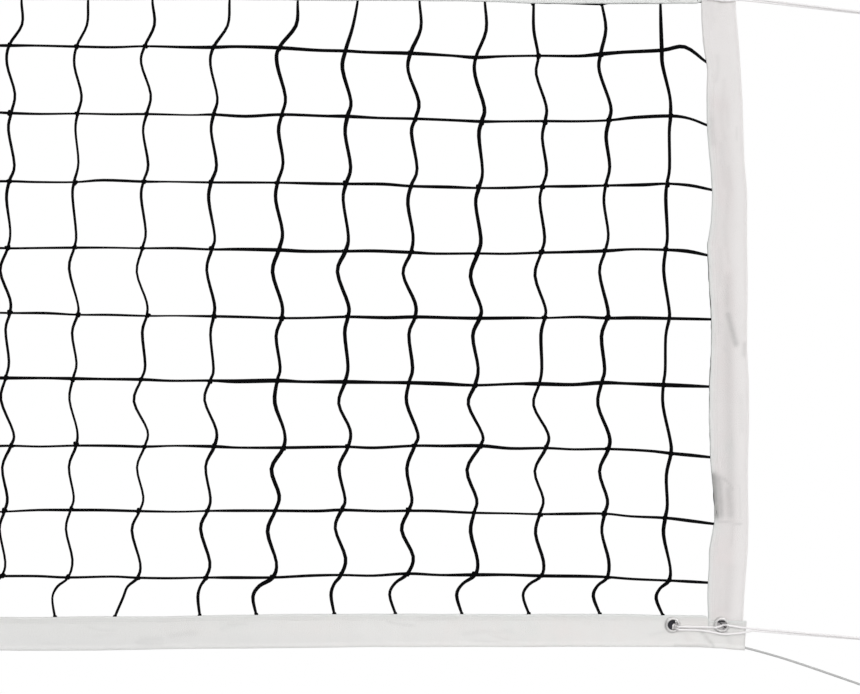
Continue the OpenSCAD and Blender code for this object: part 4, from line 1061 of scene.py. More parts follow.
def crease_depth(grid, creases):
    """How creased each point of a band is: 0 for flat cloth, 1 for the deepest fold."""
    total = np.zeros(grid.shape[:2])
    along = grid[:, 0, 0]
    for points, half_width, strength in creases:
        points = np.array(points)
        first = np.searchsorted(along, points[:, 0].min() - 3 * half_width)
        last = np.searchsorted(along, points[:, 0].max() + 3 * half_width)
        part = grid[first:last, :, :2]
        nearest = np.full(part.shape[:2], np.inf)
        for start, end in zip(points, points[1:]):
            gap = end - start
            share = np.clip(((part - start) @ gap) / (gap @ gap), 0, 1)
            nearest = np.minimum(nearest, np.linalg.norm(part - start - share[..., None] * gap, axis=-1))
        total[first:last] = np.maximum(total[first:last], strength * np.exp(-((nearest / half_width) ** 2)))
    return total


def in_metres(creases, start):
    """Creases given in millimetres, with their places along a band turned into the band's own."""
    return [
        (tuple((start(along * MM), inward * MM) for along, inward in points), half_width * MM, strength)
        for points, half_width, strength in creases
    ]


def fine_steps(low, high, count, axis):
    """Even steps between two ends, with finer ones round the eyelets."""
    places = [centre[axis] for centre in eyelet_centres()]
    fine = [np.arange(place - FINE_REACH, place + FINE_REACH, FINE_STEP) for place in places]
    steps = np.unique(np.concatenate([np.linspace(low, high, count), *fine]))
    steps = steps[(steps >= low) & (steps <= high)]
    return steps[np.concatenate([[True], np.diff(steps) > 0.2 * MM])]


def outside_eyelets(points, faces):
    """The faces that lie clear of the eyelets' holes."""
    middles = points[faces].mean(1)
    clear = np.ones(len(faces), bool)
    for x, z in eyelet_centres():
        clear &= np.hypot(middles[:, 0] - x, middles[:, 2] - z) > CLOTH_HOLE_R
    return faces[clear]


def folded_band(name, along, widths, hem_r, place, creases, seed, settings, material, **shares):
    """A length of canvas folded round an edge of the net; place turns (along, inward, depth) into a point.

    The shares are what the canvas material reads: for the whole piece, or for each step along it."""
    draw = np.random.default_rng(seed)
    width = widths.mean()
    wide = waves(draw, along, longest=1.4)
    sway = waves(draw, along, shortest=0.12, longest=1.2)
    ripple = waves(draw, along, shortest=0.03, longest=0.25)
    pucker = waves(draw, along, shortest=0.02, longest=0.08)
    section = section_points(width, hem_r)
    inner = np.clip(section[:, 0] / width, 0, 1)
    face = np.sign(section[:, 1])
    stretch = widths[:, None] * (1 + 0.012 * wide) / width
    inward = section[:, 0] * (1 + (stretch - 1) * inner)
    depth = section[:, 1] + settings.ripple * ripple * inner * (1.25 - inner)
    depth = depth + face * 0.35 * MM * pucker * np.sin(math.pi * inner)
    grid = np.stack([np.broadcast_to(along[:, None], inward.shape), inward, depth], -1)
    creases = creases + random_creases(draw, along.min(), along.max(), width, int(30 * np.ptp(along)))
    mask = crease_depth(grid, creases) * np.where(face < 0, 1, 0.35)
    grid = grid + np.stack([0 * mask, 0.5 * MM * sway + 0 * mask, 0.9 * MM * mask], -1)
    steps = reach_along(section)
    from_mouth = np.minimum(steps, steps[-1] - steps)
    count, across = mask.shape
    row, column = np.meshgrid(np.arange(count - 1), np.arange(across - 1), indexing="ij")
    first = row * across + column
    faces = np.stack([first, first + 1, first + 1 + across, first + across], -1).reshape(-1, 4)
    coordinates = np.stack(np.broadcast_arrays(from_mouth, along[:, None]), -1).reshape(-1, 2)
    points = place(grid).reshape(-1, 3)
    faces = outside_eyelets(points, faces)
    parts = [(points, faces, coordinates[faces.ravel()])]
    piece = new_piece(name, parts, NET_BODY, "band_canvas", material)
    # The crease depth is also painted into the canvas by the material, as shade.
    shares["crease_shade"] = mask
    # Nearness to the mouth, where the material paints the canvas cooler and darker, partly as the shade of
    # the fold.
    shares["edge"] = np.exp(-from_mouth / (4 * MM))
    shares["hem"] = 1 - step_at(section[:, 0], 12 * MM, 16 * MM)
    for share, values in shares.items():
        attribute = piece.data.attributes.new(share, "FLOAT", "POINT")
        attribute.data.foreach_set("value", np.broadcast_to(values, mask.shape).astype(np.float32).ravel())
    cloth = piece.modifiers.new("Cloth thickness", "SOLIDIFY")
    cloth.thickness = settings.cloth
    cloth.offset = 0
    return piece


def top_band(settings, material):
    along = fine_steps(-BAND_END, BAND_END, 1400, 0)
    away = BAND_END - np.abs(along)
    at_side = 1 - step_at(away, 62 * MM, 10 * MM)
    widths = NET_TOP_Z - TOP_MOUTH_Z - mouth_lift(away) - 10.5 * MM * at_side

    def place(grid):
        return np.stack([grid[..., 0], grid[..., 2], NET_TOP_Z - grid[..., 1]], -1)

    piece = folded_band(
        "top_band_canvas", along, widths, hem_radius(TOP_BAND, settings), place, [], settings.seed, settings,
        material, side=0,
    )
    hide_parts("top_band")


def bottom_band(settings, material):
    """The bottom band: it sways up and down along its length, and its ends are cut a little askew."""
    along = fine_steps(-BAND_END, BAND_END, 1600, 0)
    away = BAND_END - np.abs(along)
    at_side = 1 - step_at(away, 54 * MM, 8 * MM)
    outer, mouth = bottom_edges(away)
    widths = mouth - outer - 8 * MM * at_side

    def place(grid):
        x, inward, depth = np.moveaxis(grid, -1, 0)
        share = np.clip(inward / (BOTTOM_MOUTH_Z - BOTTOM_EDGE_Z), 0, 1)
        near_end = 1 - step_at(BAND_END - np.abs(x), 0, 8 * MM)
        askew = (3.5 * share - 2.5) * MM * near_end * np.sign(x)
        return np.stack([x + askew, depth, BOTTOM_EDGE_Z + inward + np.interp(x, along, outer)], -1)

    creases = in_metres(BOTTOM_CREASES, lambda gap: BAND_END - gap)
    piece = folded_band(
        "bottom_band_canvas", along, widths, hem_radius(BOTTOM_BAND, settings), place, creases,
        settings.seed + 1, settings, material, side=0, soil=step_at(away, 0.3, 0.9)[:, None],
    )
    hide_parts("bottom_band")


def side_band(name, side, settings, material):
    along = fine_steps(BOTTOM_MOUTH_Z - 18 * MM, TOP_MOUTH_Z + 27 * MM, 300, 1)
    width = SIDE_BAND[1].x - SIDE_BAND[0].x

    def place(grid):
        z, inward, depth = np.moveaxis(grid, -1, 0)
        outer, inner = side_edges(z)
        x = BAND_END - outer - inward / width * (inner - outer)
        return np.stack([side * x, depth * SIDE_SLIM, z], -1)

    creases = in_metres(SIDE_CREASES, lambda rise: BOTTOM_EDGE_Z + rise) if side > 0 else []
    fresh = PALER_SHARE * step_at(along, PALER_Z, PALER_FADE)[:, None]
    piece = folded_band(
        f"{name}_side_band_canvas", along, np.full(along.shape, width), SIDE_HEM_R, place, creases,
        settings.seed + 3 + side, settings, material, side=1, fresh=fresh,
    )
    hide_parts(f"{name}_side_band")


class DressBands(bpy.types.Operator):
    """Folds canvas bands over the four edges of the net"""

    bl_idname = "volleynet.dress_bands"
    bl_label = "Canvas bands"

    def execute(self, context):
        settings = context.scene.volleynet_bands
        material = canvas_material(settings)
        top_band(settings, material)
        bottom_band(settings, material)
        for name, side in SIDES.items():
            side_band(name, side, settings, material)
        return {"FINISHED"}


# ---- Eyelets ----

RING_R = 11.5 * MM
RING_PITCH = 74 * MM
# Half of a ring's rolled section, as radius and depth in millimetres, from the hole to the outer lip.
RING_SECTION = (
    (7.6, 0), (7.65, 1.2), (7.85, 2.2), (8.3, 2.8), (9.1, 3.05), (10.0, 2.85), (10.9, 2.4), (11.4, 2.05),
    (11.3, 1.75), (10.6, 1.8), (9.3, 1.8), (8.5, 1.6), (8.3, 0.8),
)
# Turns of the netting's twine behind an eyelet: which of the two eyelets, lean, places of the turns across
# the hole and depth in millimetres, and radius.
INNER, OUTER = 0, 1
LASHINGS = (
    (INNER, 0.15, (-7.2, -5, -2.6, -0.2, 2.2), 4.9, 1.55 * MM),
    # The two thin dark turns behind each outer eyelet stand partly in for the shade inside its hole.
    (OUTER, 1.5, (-4.6,), 3.4, 0.9 * MM),
    (OUTER, -0.85, (0.8,), 2.6, 0.8 * MM),
)


def eyelet_places():
    """Distances of the two eyelets of a corner from the middle of the net, and their two heights."""
    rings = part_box("eyelets")
    outer = rings[1].x - RING_R
    return (outer - RING_PITCH, outer), (rings[0].z + RING_R, rings[1].z - RING_R)


def eyelet_centres():
    away, heights = eyelet_places()
    return [(side * x, z) for side in SIDES.values() for x in away for z in heights]


class DressEyelets(bpy.types.Operator):
    """Rolls a metal ring into each corner hole of the bands"""

    bl_idname = "volleynet.dress_eyelets"
    bl_label = "Eyelets"

    def execute(self, context):
        material = metal_material("eyelet_metal", (0.71, 0.7, 0.695), 0.62, patch=160)
        back = [(radius, -depth) for radius, depth in RING_SECTION]
        section = np.array(back + list(RING_SECTION)[:0:-1]) * MM
        parts = [lathe(section, 40, (x, 0, z)) for x, z in eyelet_centres()]
        piece = new_piece("rolled_eyelets", parts, NET_BODY, "eyelet_metal", material)
        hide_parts("eyelets")
        return {"FINISHED"}


def lashing_turns(side, x, z, lean, shifts, depth, radius):
    """Turns of cord that cross behind an eyelet's hole at a depth and turn back round its rim."""
    half, beyond = CLOTH_HOLE_R, CLOTH_HOLE_R + 3 * MM
    rim, back = 5.2 * MM, 5.5 * MM
    across = [(depth * MM, 0.6 * half * share) for share in (-1, 0, 1)]
    parts = []
    for shift in shifts:
        line = [(back, -beyond), (rim, -half), *across, (rim, half), (back, beyond)]
        path = smooth_path([(shift * MM, y, rise) for y, rise in line], 6)
        parts.append(sweep([mirrored(side, turned(path, lean)) + (side * x, 0, z)], radius, 10, (1, 0, 0)))
    return parts


class DressLashings(bpy.types.Operator):
    """Lashes the corners of the netting behind the eyelets"""

    bl_idname = "volleynet.dress_lashings"
    bl_label = "Corner lashings"

    def execute(self, context):
        away, heights = eyelet_places()
        parts = []
        for side in SIDES.values():
            for z in heights:
                for eyelet, *turns in LASHINGS:
                    parts += lashing_turns(side, away[eyelet], z, *turns)
        new_piece("corner_lashings", parts, NET_BODY, "netting_twine")
        return {"FINISHED"}


# ---- Cords ----

# How far the hooks lie below the upper edge of the net.
HOOK_DROPS = {"top_tie": 108 * MM, "bottom_tie": 1050 * MM, "bottom_line": 1174 * MM}
HOOK_HOLE_R = 8 * MM
HOOK_RING_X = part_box("right_line_hooks")[0].x + 15 * MM
LOOP_REACH = 15 * MM

LINE_R = 1.75 * MM
LINE_SPRING = 3.4 * MM
LINE_IN_HEM = 3.7 * MM

HEADLINE_R = 2.5 * MM
HEADLINE_SAG = 0.5 * MM
SHEAVE_RUN_R = 38 * MM
WINDING_R = 22.8 * MM
WINDING_TURNS = 7


def hook_ring(height):
    """Middle of the ring of a hook on the right mast."""
    return np.array([HOOK_RING_X, 0, height])


def twisted_pair(path, offset, lay):
    """Two paths that wind round a middle one, which start one above the other."""
    along = unit(np.gradient(path, axis=0))
    across = unit(np.cross(along, (0, 0, 1.0)))
    up = np.cross(across, along)
    angle = TURN * reach_along(path)[:, None] / lay
    swing = offset * (np.sin(angle) * across + np.cos(angle) * up)
    return path + swing, path - swing


def corner_tie(side, eyelet_z, hook_z, strand):
    """A doubled tie: through the inner eyelet, over the band's face, then out to its hook."""
    inner_x, outer_x = eyelet_places()[0]
    cloth = -(1.7 * MM + 0.45 * strand)
    rim = -(3.2 * MM + 0.9 * strand)
    ring = hook_ring(hook_z)
    drop, flat = (7 * MM, 1) if hook_z < BOTTOM_MOUTH_Z else (9.5 * MM, 0.78)
    meet = np.array([BAND_END + 10 * MM, 0.6 * cloth, eyelet_z - drop])
    hitch = ring - (13 * MM, 0, 0)

    def at(start, gap, depth, rise):
        return (start + gap * MM, depth, eyelet_z + flat * rise * MM)

    upper = [
        at(inner_x, 1.5, 9 * MM, -1.5), at(inner_x, 3.5, 4 * MM, -1.8), at(inner_x, 5.2, 0, -2),
        at(inner_x, 9.5, rim, -2.3), at(inner_x, 16, cloth * 1.1, -2.5), at(inner_x, 38, cloth, -2.8),
        at(outer_x, -16, cloth, -3.2), at(outer_x, -9.5, rim, -3.3), at(outer_x, -5, 0, -3),
        at(outer_x, 0, 1.6 * MM, -1.6), at(outer_x, 5, 0, 0), at(outer_x, 9, rim, 0),
        at(outer_x, 16, cloth * 1.1, -1.4), at(outer_x, 30, cloth, -3.6), meet + (0, 0, 0.95 * strand),
    ]
    lower = [
        at(inner_x, 2, 9 * MM, -4), at(inner_x, 4, 4 * MM, -4.6), at(inner_x, 5, 0, -5),
        at(inner_x, 9.5, rim, -6.6), at(inner_x, 16, cloth * 1.1, -7), at(inner_x, 40, cloth, -7.9),
        at(outer_x, -15, cloth, -10.6), at(outer_x, 0, cloth * 1.15, -13.4), at(outer_x, 10, cloth, -13.6),
        at(outer_x, 28, cloth, -12.2), meet - (0, 0, 0.95 * strand),
    ]
    parts = []
    for line in (upper, lower):
        parts.append(sweep([mirrored(side, smooth_path(line, 6))], strand, 12, (0, 0.2, 1)))
    for path in twisted_pair(even_path([meet, hitch], 5 * MM), 0.95 * strand, 1.1):
        parts.append(sweep([mirrored(side, path)], strand, 12))
    parts += hook_loop(side, ring, strand * 1.25)
    parts += stop_knot(side, (inner_x + 2.6 * MM, 10 * MM, eyelet_z - 3.4 * MM), strand)
    parts += lashing_turns(side, outer_x, eyelet_z, 0.5, (-7.5, -5, -2.5, 0, 2.5, 5, 7.5), 6.4, strand)
    return parts


def stop_knot(side, place, strand):
    """The knot that keeps a tie from slipping through its eyelet."""
    turn = round_angles(24)
    loop = np.stack([5.4 * MM * np.cos(turn), 3.1 * MM * np.sin(2 * turn), 5.4 * MM * np.sin(turn)], -1)
    return [
        sweep([mirrored(side, turned(loop, lean, 1, 0) + place)], 1.3 * strand, 8, (0.3, 1, 0.2), closed=True)
        for lean in (0.0, 0.9, -0.9, 1.57)
    ]


def hook_loop(side, ring, radius):
    """The loop through a hook's ring and the turns of the knot that closes it."""
    middle = ring - (HOOK_HOLE_R + LOOP_REACH - 2 * radius - 1 * MM, 0, 0)
    turn = round_angles(40)
    cos, sin = np.cos(turn), np.sin(turn)
    loop = middle + np.stack([LOOP_REACH * cos, 0.62 * LOOP_REACH * sin, 0 * turn], -1)
    parts = [sweep([mirrored(side, loop)], radius, 10, (0, 0, 1), closed=True)]
    knot = middle - (LOOP_REACH + radius, 0, 0)
    for shift in (-1.9, 0, 1.9):
        wrap = knot + radius * np.stack([shift + 0.6 * cos, 2.1 * cos, 2.1 * sin], -1)
        parts.append(sweep([mirrored(side, wrap)], radius * 0.95, 8, (1, 0, 0), closed=True))
    return parts


class DressTies(bpy.types.Operator):
    """Ties the corners of the net to the hooks on the masts"""

    bl_idname = "volleynet.dress_ties"
    bl_label = "Corner ties"

    def execute(self, context):
        settings = context.scene.volleynet_cords
        material = cord_material("tie_cord", settings.tie_colour, 6, 0.0035)
        low, high = eyelet_places()[1]
        for name, side in SIDES.items():
            parts = corner_tie(side, low, NET_TOP_Z - HOOK_DROPS["bottom_tie"], settings.strand)
            parts += corner_tie(side, high, NET_TOP_Z - HOOK_DROPS["top_tie"], settings.strand)
            piece = new_piece(f"{name}_ties", parts, NET_BODY, "tie_cord", material)
            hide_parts(f"{name}_corner_ties")
        return {"FINISHED"}


def hem_z(away):
    """Height of the middle of the bottom hem at a distance from the end of the band."""
    return BOTTOM_EDGE_Z + float(bottom_edges(away)[0]) + LINE_IN_HEM


def line_parts(side):
    """One end of the bottom line: out of the hem and down to its hook."""
    ring = hook_ring(NET_TOP_Z - HOOK_DROPS["bottom_line"])
    leave, hitch = np.array([BAND_END, 0, hem_z(0)]), ring - (11 * MM, 0, 0)
    inside = [(BAND_END - gap * MM, 0, hem_z(gap * MM)) for gap in (60, 45, 30, 15, 5)]
    free = [
        leave + share * (hitch - leave) + (0, 0, rise * LINE_SPRING)
        for share, rise in ((0.16, 1), (0.4, 1), (0.7, 0.5))
    ]
    route = smooth_path([*inside, leave, *free, hitch], 10)
    return [sweep([mirrored(side, route)], LINE_R, 10), *hook_loop(side, ring, LINE_R * 1.2)]


def sheave_and_drum():
    """Middles of the sheave and of the drum in X and Z."""
    return [np.array([middle.x, middle.z]) for middle in map(middle_of, ("head_sheave", "winch_drum"))]


def headline_parts():
    """The headline: its loop on the left hook, its run to the sheave and its fall to the drum."""
    sheave, drum = sheave_and_drum()
    head_z = sheave[1] + SHEAVE_RUN_R
    gap = drum - sheave
    leave = math.atan2(gap[1], gap[0]) + math.acos((SHEAVE_RUN_R + WINDING_R) / np.linalg.norm(gap))
    turn = np.linspace(math.pi / 2, leave, 14)
    run = SHEAVE_RUN_R * np.stack([np.cos(turn), np.sin(turn)], -1)
    arc = np.stack([sheave[0] + run[:, 0], 0 * turn, sheave[1] + run[:, 1]], -1)
    touch = drum - WINDING_R * np.array([math.cos(leave), math.sin(leave)])
    end = touch + 16 * MM * unit(arc[-1, [0, 2]] - touch)
    ring = hook_ring(head_z)
    start, inside = 13 * MM - ring[0], BAND_END - 60 * MM
    dip = head_z - HEADLINE_SAG
    left = smooth_path([(start, 0, head_z), (-inside - 60 * MM, 0, dip), (-inside, 0, head_z)], 10)
    right = smooth_path([(inside, 0, head_z), (BAND_END + 0.2, 0, dip), arc[0]], 10)
    fall = even_path([arc[-1], (end[0], 0, end[1])], 40 * MM)
    paths = [left, np.concatenate([right[:-1], arc, fall[1:]])]
    return [sweep([path], HEADLINE_R, 12) for path in paths] + hook_loop(-1, ring, HEADLINE_R)


class DressLines(bpy.types.Operator):
    """Runs the headline and the bottom line through their hems and out to the masts"""

    bl_idname = "volleynet.dress_lines"
    bl_label = "Headline and bottom line"

    def execute(self, context):
        settings = context.scene.volleynet_cords
        thin = cord_material("bottom_cord", settings.line_colour, 6, 0.003)
        thick = cord_material("headline_cord", (0.62, 0.62, 0.6), 8, 0.005)
        parts = [part for side in SIDES.values() for part in line_parts(side)]
        piece = new_piece("bottom_line_cord", parts, NET_BODY, "bottom_cord", thin)
        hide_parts("bottom_line")
        piece = new_piece("headline_cord", headline_parts(), NET_BODY, "headline_cord", thick)
        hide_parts("headline")
        return {"FINISHED"}


class DressWinding(bpy.types.Operator):
    """Winds the headline on the drum of the winch"""

    bl_idname = "volleynet.dress_winding"
    bl_label = "Winding on the drum"

    def execute(self, context):
        low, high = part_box("drum_winding")
        drum = sheave_and_drum()[1]
        share = np.linspace(0, 1, WINDING_TURNS * 32 + 1)
        angle = math.pi + TURN * WINDING_TURNS * share
        y = low.y + HEADLINE_R + (high.y - low.y - 2 * HEADLINE_R) * share
        path = np.stack([drum[0] + WINDING_R * np.cos(angle), y, drum[1] + WINDING_R * np.sin(angle)], -1)
        piece = new_piece("drum_turns", [sweep([path], HEADLINE_R, 12)], "drum", "headline_cord")
        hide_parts("drum_winding")
        return {"FINISHED"}


# ---- Finishes of the posts and the winch ----


class FinishPosts(bpy.types.Operator):
    """Gives the solid pieces of the posts and the winch their finishes"""

    bl_idname = "volleynet.finish_posts"
    bl_label = "Post and winch finishes"

    def execute(self, context):
        settings = context.scene.volleynet_posts
        finishes = {
            "zinc_steel": metal_material("zinc_steel", (0.62, 0.62, 0.64), 0.38),
            "base_paint": paint_material("base_paint", settings.base_colour, 0.0003),
            "guide_plastic": moulded_material("guide_plastic", (0.02, 0.02, 0.022), 0.45),
            "pad_rubber": moulded_material("pad_rubber", settings.rubber_colour, 0.75),
            "tube_paint": paint_material("tube_paint", settings.tube_colour, 0.00012),
            "mast_aluminium": drawn_material("mast_aluminium", (0.72, 0.73, 0.75)),
        }
        finishes["winch_paint"] = finishes["base_paint"]
        finishes["sheave_plastic"] = finishes["guide_plastic"]
        finishes["wheel_rubber"] = finishes["grip_rubber"] = finishes["pad_rubber"]
        for part in frame["record"]["subparts"]:
            if part["material_slot"] in finishes:
                mesh = NODES[part["node"]].data
                mesh.materials.clear()
                mesh.materials.append(finishes[part["material_slot"]])
        return {"FINISHED"}


# ---- Fittings of the posts and the winch ----

FLANGE = 10 * MM
BRACKET_PLATE = 6 * MM
BOLT_R = 6 * MM
BOLT_ANGLES = np.radians(np.arange(30, 360, 60))
BRACKET_BOLT_INSET, BRACKET_BOLT_Y = 25 * MM, 30 * MM
# Sections as (radius, height) in millimetres: of a washer, whose radius counts from its bolt, and of the
# rubber round the rim of a base, whose radius counts from the rim and whose height counts from the pads.
WASHER = ((0, 0), (6.2, 0), (6.7, 0.5), (6.7, 1.3), (6.2, 1.8), (0, 1.8))
RIM_GUARD = (
    (-0.5, 2), (2, 2.6), (3, 4.5), (3, 26), (2.2, 29.5), (0, 31.4), (-7, 31.6), (-8.2, 30.8), (-8.2, 29.5),
    (-0.5, 29.5),
)
GUARD_Z = 10 * MM

# A wheel's spokes: distances from the axle and radii there, in millimetres.
SPOKES = 6
SPOKE = ((15, 1.7), (17, 2.2), (24, 2), (31, 2), (38, 2.2), (40, 1.7))
WHEEL_RECESS = 4 * MM
TREADS = (-6.5, 0, 6.5)
TREAD_R = 1.1 * MM

LEVER_RIDGE_ANGLES = np.radians([-98, -102, -106, -110, -114])
# A winch cheek's pressed bead round the drum's axle, in millimetres: its left, upper and lower edge, then the
# radius of its nose and how far that lies below the axle.
CHEEK_LEFT, CHEEK_TOP, CHEEK_BOTTOM = -50, 49, -81
CHEEK_NOSE_R, CHEEK_NOSE_DROP = 21, 60
# The crank grip's outline: distance from its middle and radius, in millimetres.
GRIP = ((0, 15), (36, 13.5), (46, 14), (50, 11))


def weld(path, size, ripples, closed=False):
    """A weld bead along a path, with the ripples that its making leaves."""
    share = np.arange(len(path)) / len(path)
    radii = size * (1 + 0.05 * np.sin(TURN * ripples * share) + 0.04 * np.sin(TURN * 7 * share))
    return sweep([path], radii, 10, (0, 0, 1), closed)


def middle_of(node):
    low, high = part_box(node)
    return (low + high) / 2


def bracket_welds(side, place, base_r, size):
    """The welds on both sides of the feet of a wheel bracket's two plates."""
    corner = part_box("right_wheel_bracket")[0]
    welds = []
    for y in (-1, 1):
        inner, outer = -corner.y - BRACKET_PLATE - 0.6 * MM, -corner.y + 0.4 * MM
        for edge, foot in ((inner, BRACKET_PLATE), (outer, 0)):
            height = corner.z + foot + 0.6 * MM
            line = [(base_r - (49 - i) * MM, y * edge, height) for i in np.arange(0, 48, 1.5)]
            welds.append(weld(mirrored(side, line) + place, size, 12))
    return welds


class FitFeet(bpy.types.Operator):
    """Adds welds, washers and rubber edging at the feet of the posts"""

    bl_idname = "volleynet.fit_feet"
    bl_label = "Welds, washers and edging"

    def execute(self, context):
        bead = context.scene.volleynet_posts.bead
        low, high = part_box("right_upper_guide")
        tube_r = (high.x - low.x) / 2
        low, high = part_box("right_post_tube")
        circle = (tube_r + (high.x - low.x) / 2) / 2
        foot = low.z + FLANGE
        base_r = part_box("right_base")[1].x - POST_X
        bracket_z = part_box("right_wheel_bracket")[0].z + BRACKET_PLATE
        seats = [(circle * math.cos(angle), circle * math.sin(angle), foot) for angle in BOLT_ANGLES]
        seats += [(base_r - BRACKET_BOLT_INSET, y, bracket_z) for y in (-BRACKET_BOLT_Y, BRACKET_BOLT_Y)]
        washer = np.array(WASHER) * MM + (BOLT_R, 0)
        guard = np.array(RIM_GUARD) * MM + (base_r, GUARD_Z)
        for name, side in SIDES.items():
            place = np.array([side * POST_X, 0, 0])
            seam = ring_path(place + (0, 0, foot + 0.3 * bead), tube_r + 0.3 * bead, 288)
            new_piece(f"{name}_foot_weld", [weld(seam, bead, 72, closed=True)], "root", "tube_paint")
            washers = [lathe(washer, 32, mirrored(side, seat) + place, "Z") for seat in seats]
            new_piece(f"{name}_washers", washers, "root", "zinc_steel")
            new_piece(f"{name}_rim_guard", [lathe(guard, 144, place, "Z")], "root", "pad_rubber")
            welds = bracket_welds(side, place, base_r, 0.75 * bead)
            new_piece(f"{name}_bracket_welds", welds, "root", "base_paint")
        return {"FINISHED"}


class FitWheels(bpy.types.Operator):
    """Adds spokes and tread lines to the transport wheels"""

    bl_idname = "volleynet.fit_wheels"
    bl_label = "Wheel spokes and treads"

    def execute(self, context):
        rubber = bpy.data.materials["pad_rubber"]
        reach, radii = np.array(SPOKE).T * MM
        for node in (f"{name}_{row}_wheel" for name in SIDES for row in ("front", "back")):
            low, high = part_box(node)
            middle, radius = np.array(middle_of(node)), (high.z - low.z) / 2
            depth = (high.y - low.y) / 2 - WHEEL_RECESS + 0.6 * MM
            parts = []
            for face in (-1, 1):
                for i in range(SPOKES):
                    angle = TURN * (i + 0.5 * (face > 0)) / SPOKES
                    way = np.array([math.cos(angle), 0, math.sin(angle)])
                    parts.append(sweep([middle + (0, face * depth, 0) + reach[:, None] * way], radii, 10))
            for offset in TREADS:
                tread = ring_path(middle + (0, offset * MM, 0), radius - 0.5 * MM, 96, "Y")
                parts.append(sweep([tread], TREAD_R, 8, closed=True))
            new_piece(f"{node}_spokes", parts, node, "wheel_rubber", rubber)
        return {"FINISHED"}


class FitLevers(bpy.types.Operator):
    """Adds thumb ridges to the clamp levers"""

    bl_idname = "volleynet.fit_levers"
    bl_label = "Lever ridges"

    def execute(self, context):
        size = context.scene.volleynet_posts.ridge
        low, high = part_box("right_clamp_lever")
        rise = np.linspace(low.z + 2.5 * MM, high.z - 2.5 * MM, 6)
        radii = size * np.array([0.4, 1, 1, 1, 1, 0.4])
        for name, side in SIDES.items():
            parts = []
            for angle in LEVER_RIDGE_ANGLES:
                x, y = POST_X - low.y * math.cos(angle), -low.y * math.sin(angle)
                parts.append(sweep([[(side * x, y, z) for z in rise]], radii, 10, (1, 0, 0)))
            new_piece(f"{name}_lever_ridges", parts, f"{name}_lever", "guide_plastic")
        return {"FINISHED"}


def cheek_bead(axis, y):
    """The pressed bead that follows the outline of a winch cheek, on the face at Y."""
    disc = [(CHEEK_TOP * math.cos(a), CHEEK_TOP * math.sin(a)) for a in np.radians(np.arange(90, -70, -6))]
    nose = [
        (CHEEK_NOSE_R * math.cos(a), CHEEK_NOSE_R * math.sin(a) - CHEEK_NOSE_DROP)
        for a in np.radians(np.arange(38, -91, -8))
    ]
    corner = (CHEEK_LEFT, CHEEK_BOTTOM)
    x, z = np.array([corner, (CHEEK_LEFT, CHEEK_TOP), *disc, *nose, corner]).T * MM
    path = even_path(np.stack([x + axis[0], 0 * x + y, z + axis[1]], -1), 2 * MM)[:-1]
    for _ in range(8):
        path = (np.roll(path, 1, 0) + 2 * path + np.roll(path, -1, 0)) / 4
    return path


class FitWinch(bpy.types.Operator):
    """Adds pressed beads and washers to the winch, and ridges to its crank grip"""

    bl_idname = "volleynet.fit_winch"
    bl_label = "Winch beads, washers and grip"

    def execute(self, context):
        low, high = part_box("winch_frame")
        drum = sheave_and_drum()[1]
        parts = []
        for y in (low.y, high.y):
            parts.append(sweep([cheek_bead(drum, y)], 1.6 * MM, 10, closed=True))
            ring = ring_path((drum[0], y, drum[1]), 24 * MM, 72, "Y")
            parts.append(sweep([ring], 1.8 * MM, 10, closed=True))
        for way, y in ((-1, low.y), (1, high.y)):
            washer = np.array(WASHER) * (MM, way * 0.7 * MM) + (BOLT_R, 0)
            parts.append(lathe(washer, 32, (drum[0], y, drum[1])))
        new_piece("winch_beads", parts, "right_mast", "zinc_steel")
        grip, (low, high) = middle_of("crank_grip"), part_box("crank_grip")
        reach, radii = np.array(GRIP).T * MM
        rings = []
        for offset in np.arange(-0.8, 0.81, 0.1) * (high.y - low.y) / 2:
            ring = ring_path((grip.x, grip.y + offset, grip.z), np.interp(abs(offset), reach, radii), 48, "Y")
            rings.append(sweep([ring], context.scene.volleynet_posts.ridge, 8, closed=True))
        new_piece("grip_ridges", rings, "crank_grip", "grip_rubber", bpy.data.materials["pad_rubber"])
        return {"FINISHED"}


# ---- Stage ----

WHITE = (1, 1, 1, 1)
FLOOR_HALF = 60
FLOOR_NEAR, FLOOR_FAR = 1.0, 3.6
SOFT_LIGHT = 0.64
IMAGE_WIDTH, IMAGE_HEIGHT = 860, 694
CORNER_PIXEL = (746, 648)
SENSOR = 36


class BuildStage(bpy.types.Operator):
    """Lays the floor and sets lights, world and camera"""

    bl_idname = "volleynet.build_stage"
    bl_label = "Stage"

    def execute(self, context):
        settings = context.scene.volleynet_stage
        build_floor(settings)
        build_world(context.scene)
        add_sun("key_sun", (0.45, -1.0, 0.95), 1.88, 48)
        add_sun("back_sun", (-0.7, 1.0, 0.8), 0.77, 40)
        place_camera(context.scene, settings)
        context.scene.view_settings.view_transform = "Standard"
        return {"FINISHED"}


def rays(tree):
    """Which rays a point is seen by: camera, glossy and transmission rays."""
    outputs = add(tree, "LightPath").outputs
    return [Value(outputs[f"Is {kind} Ray"]) for kind in ("Camera", "Glossy", "Transmission")]


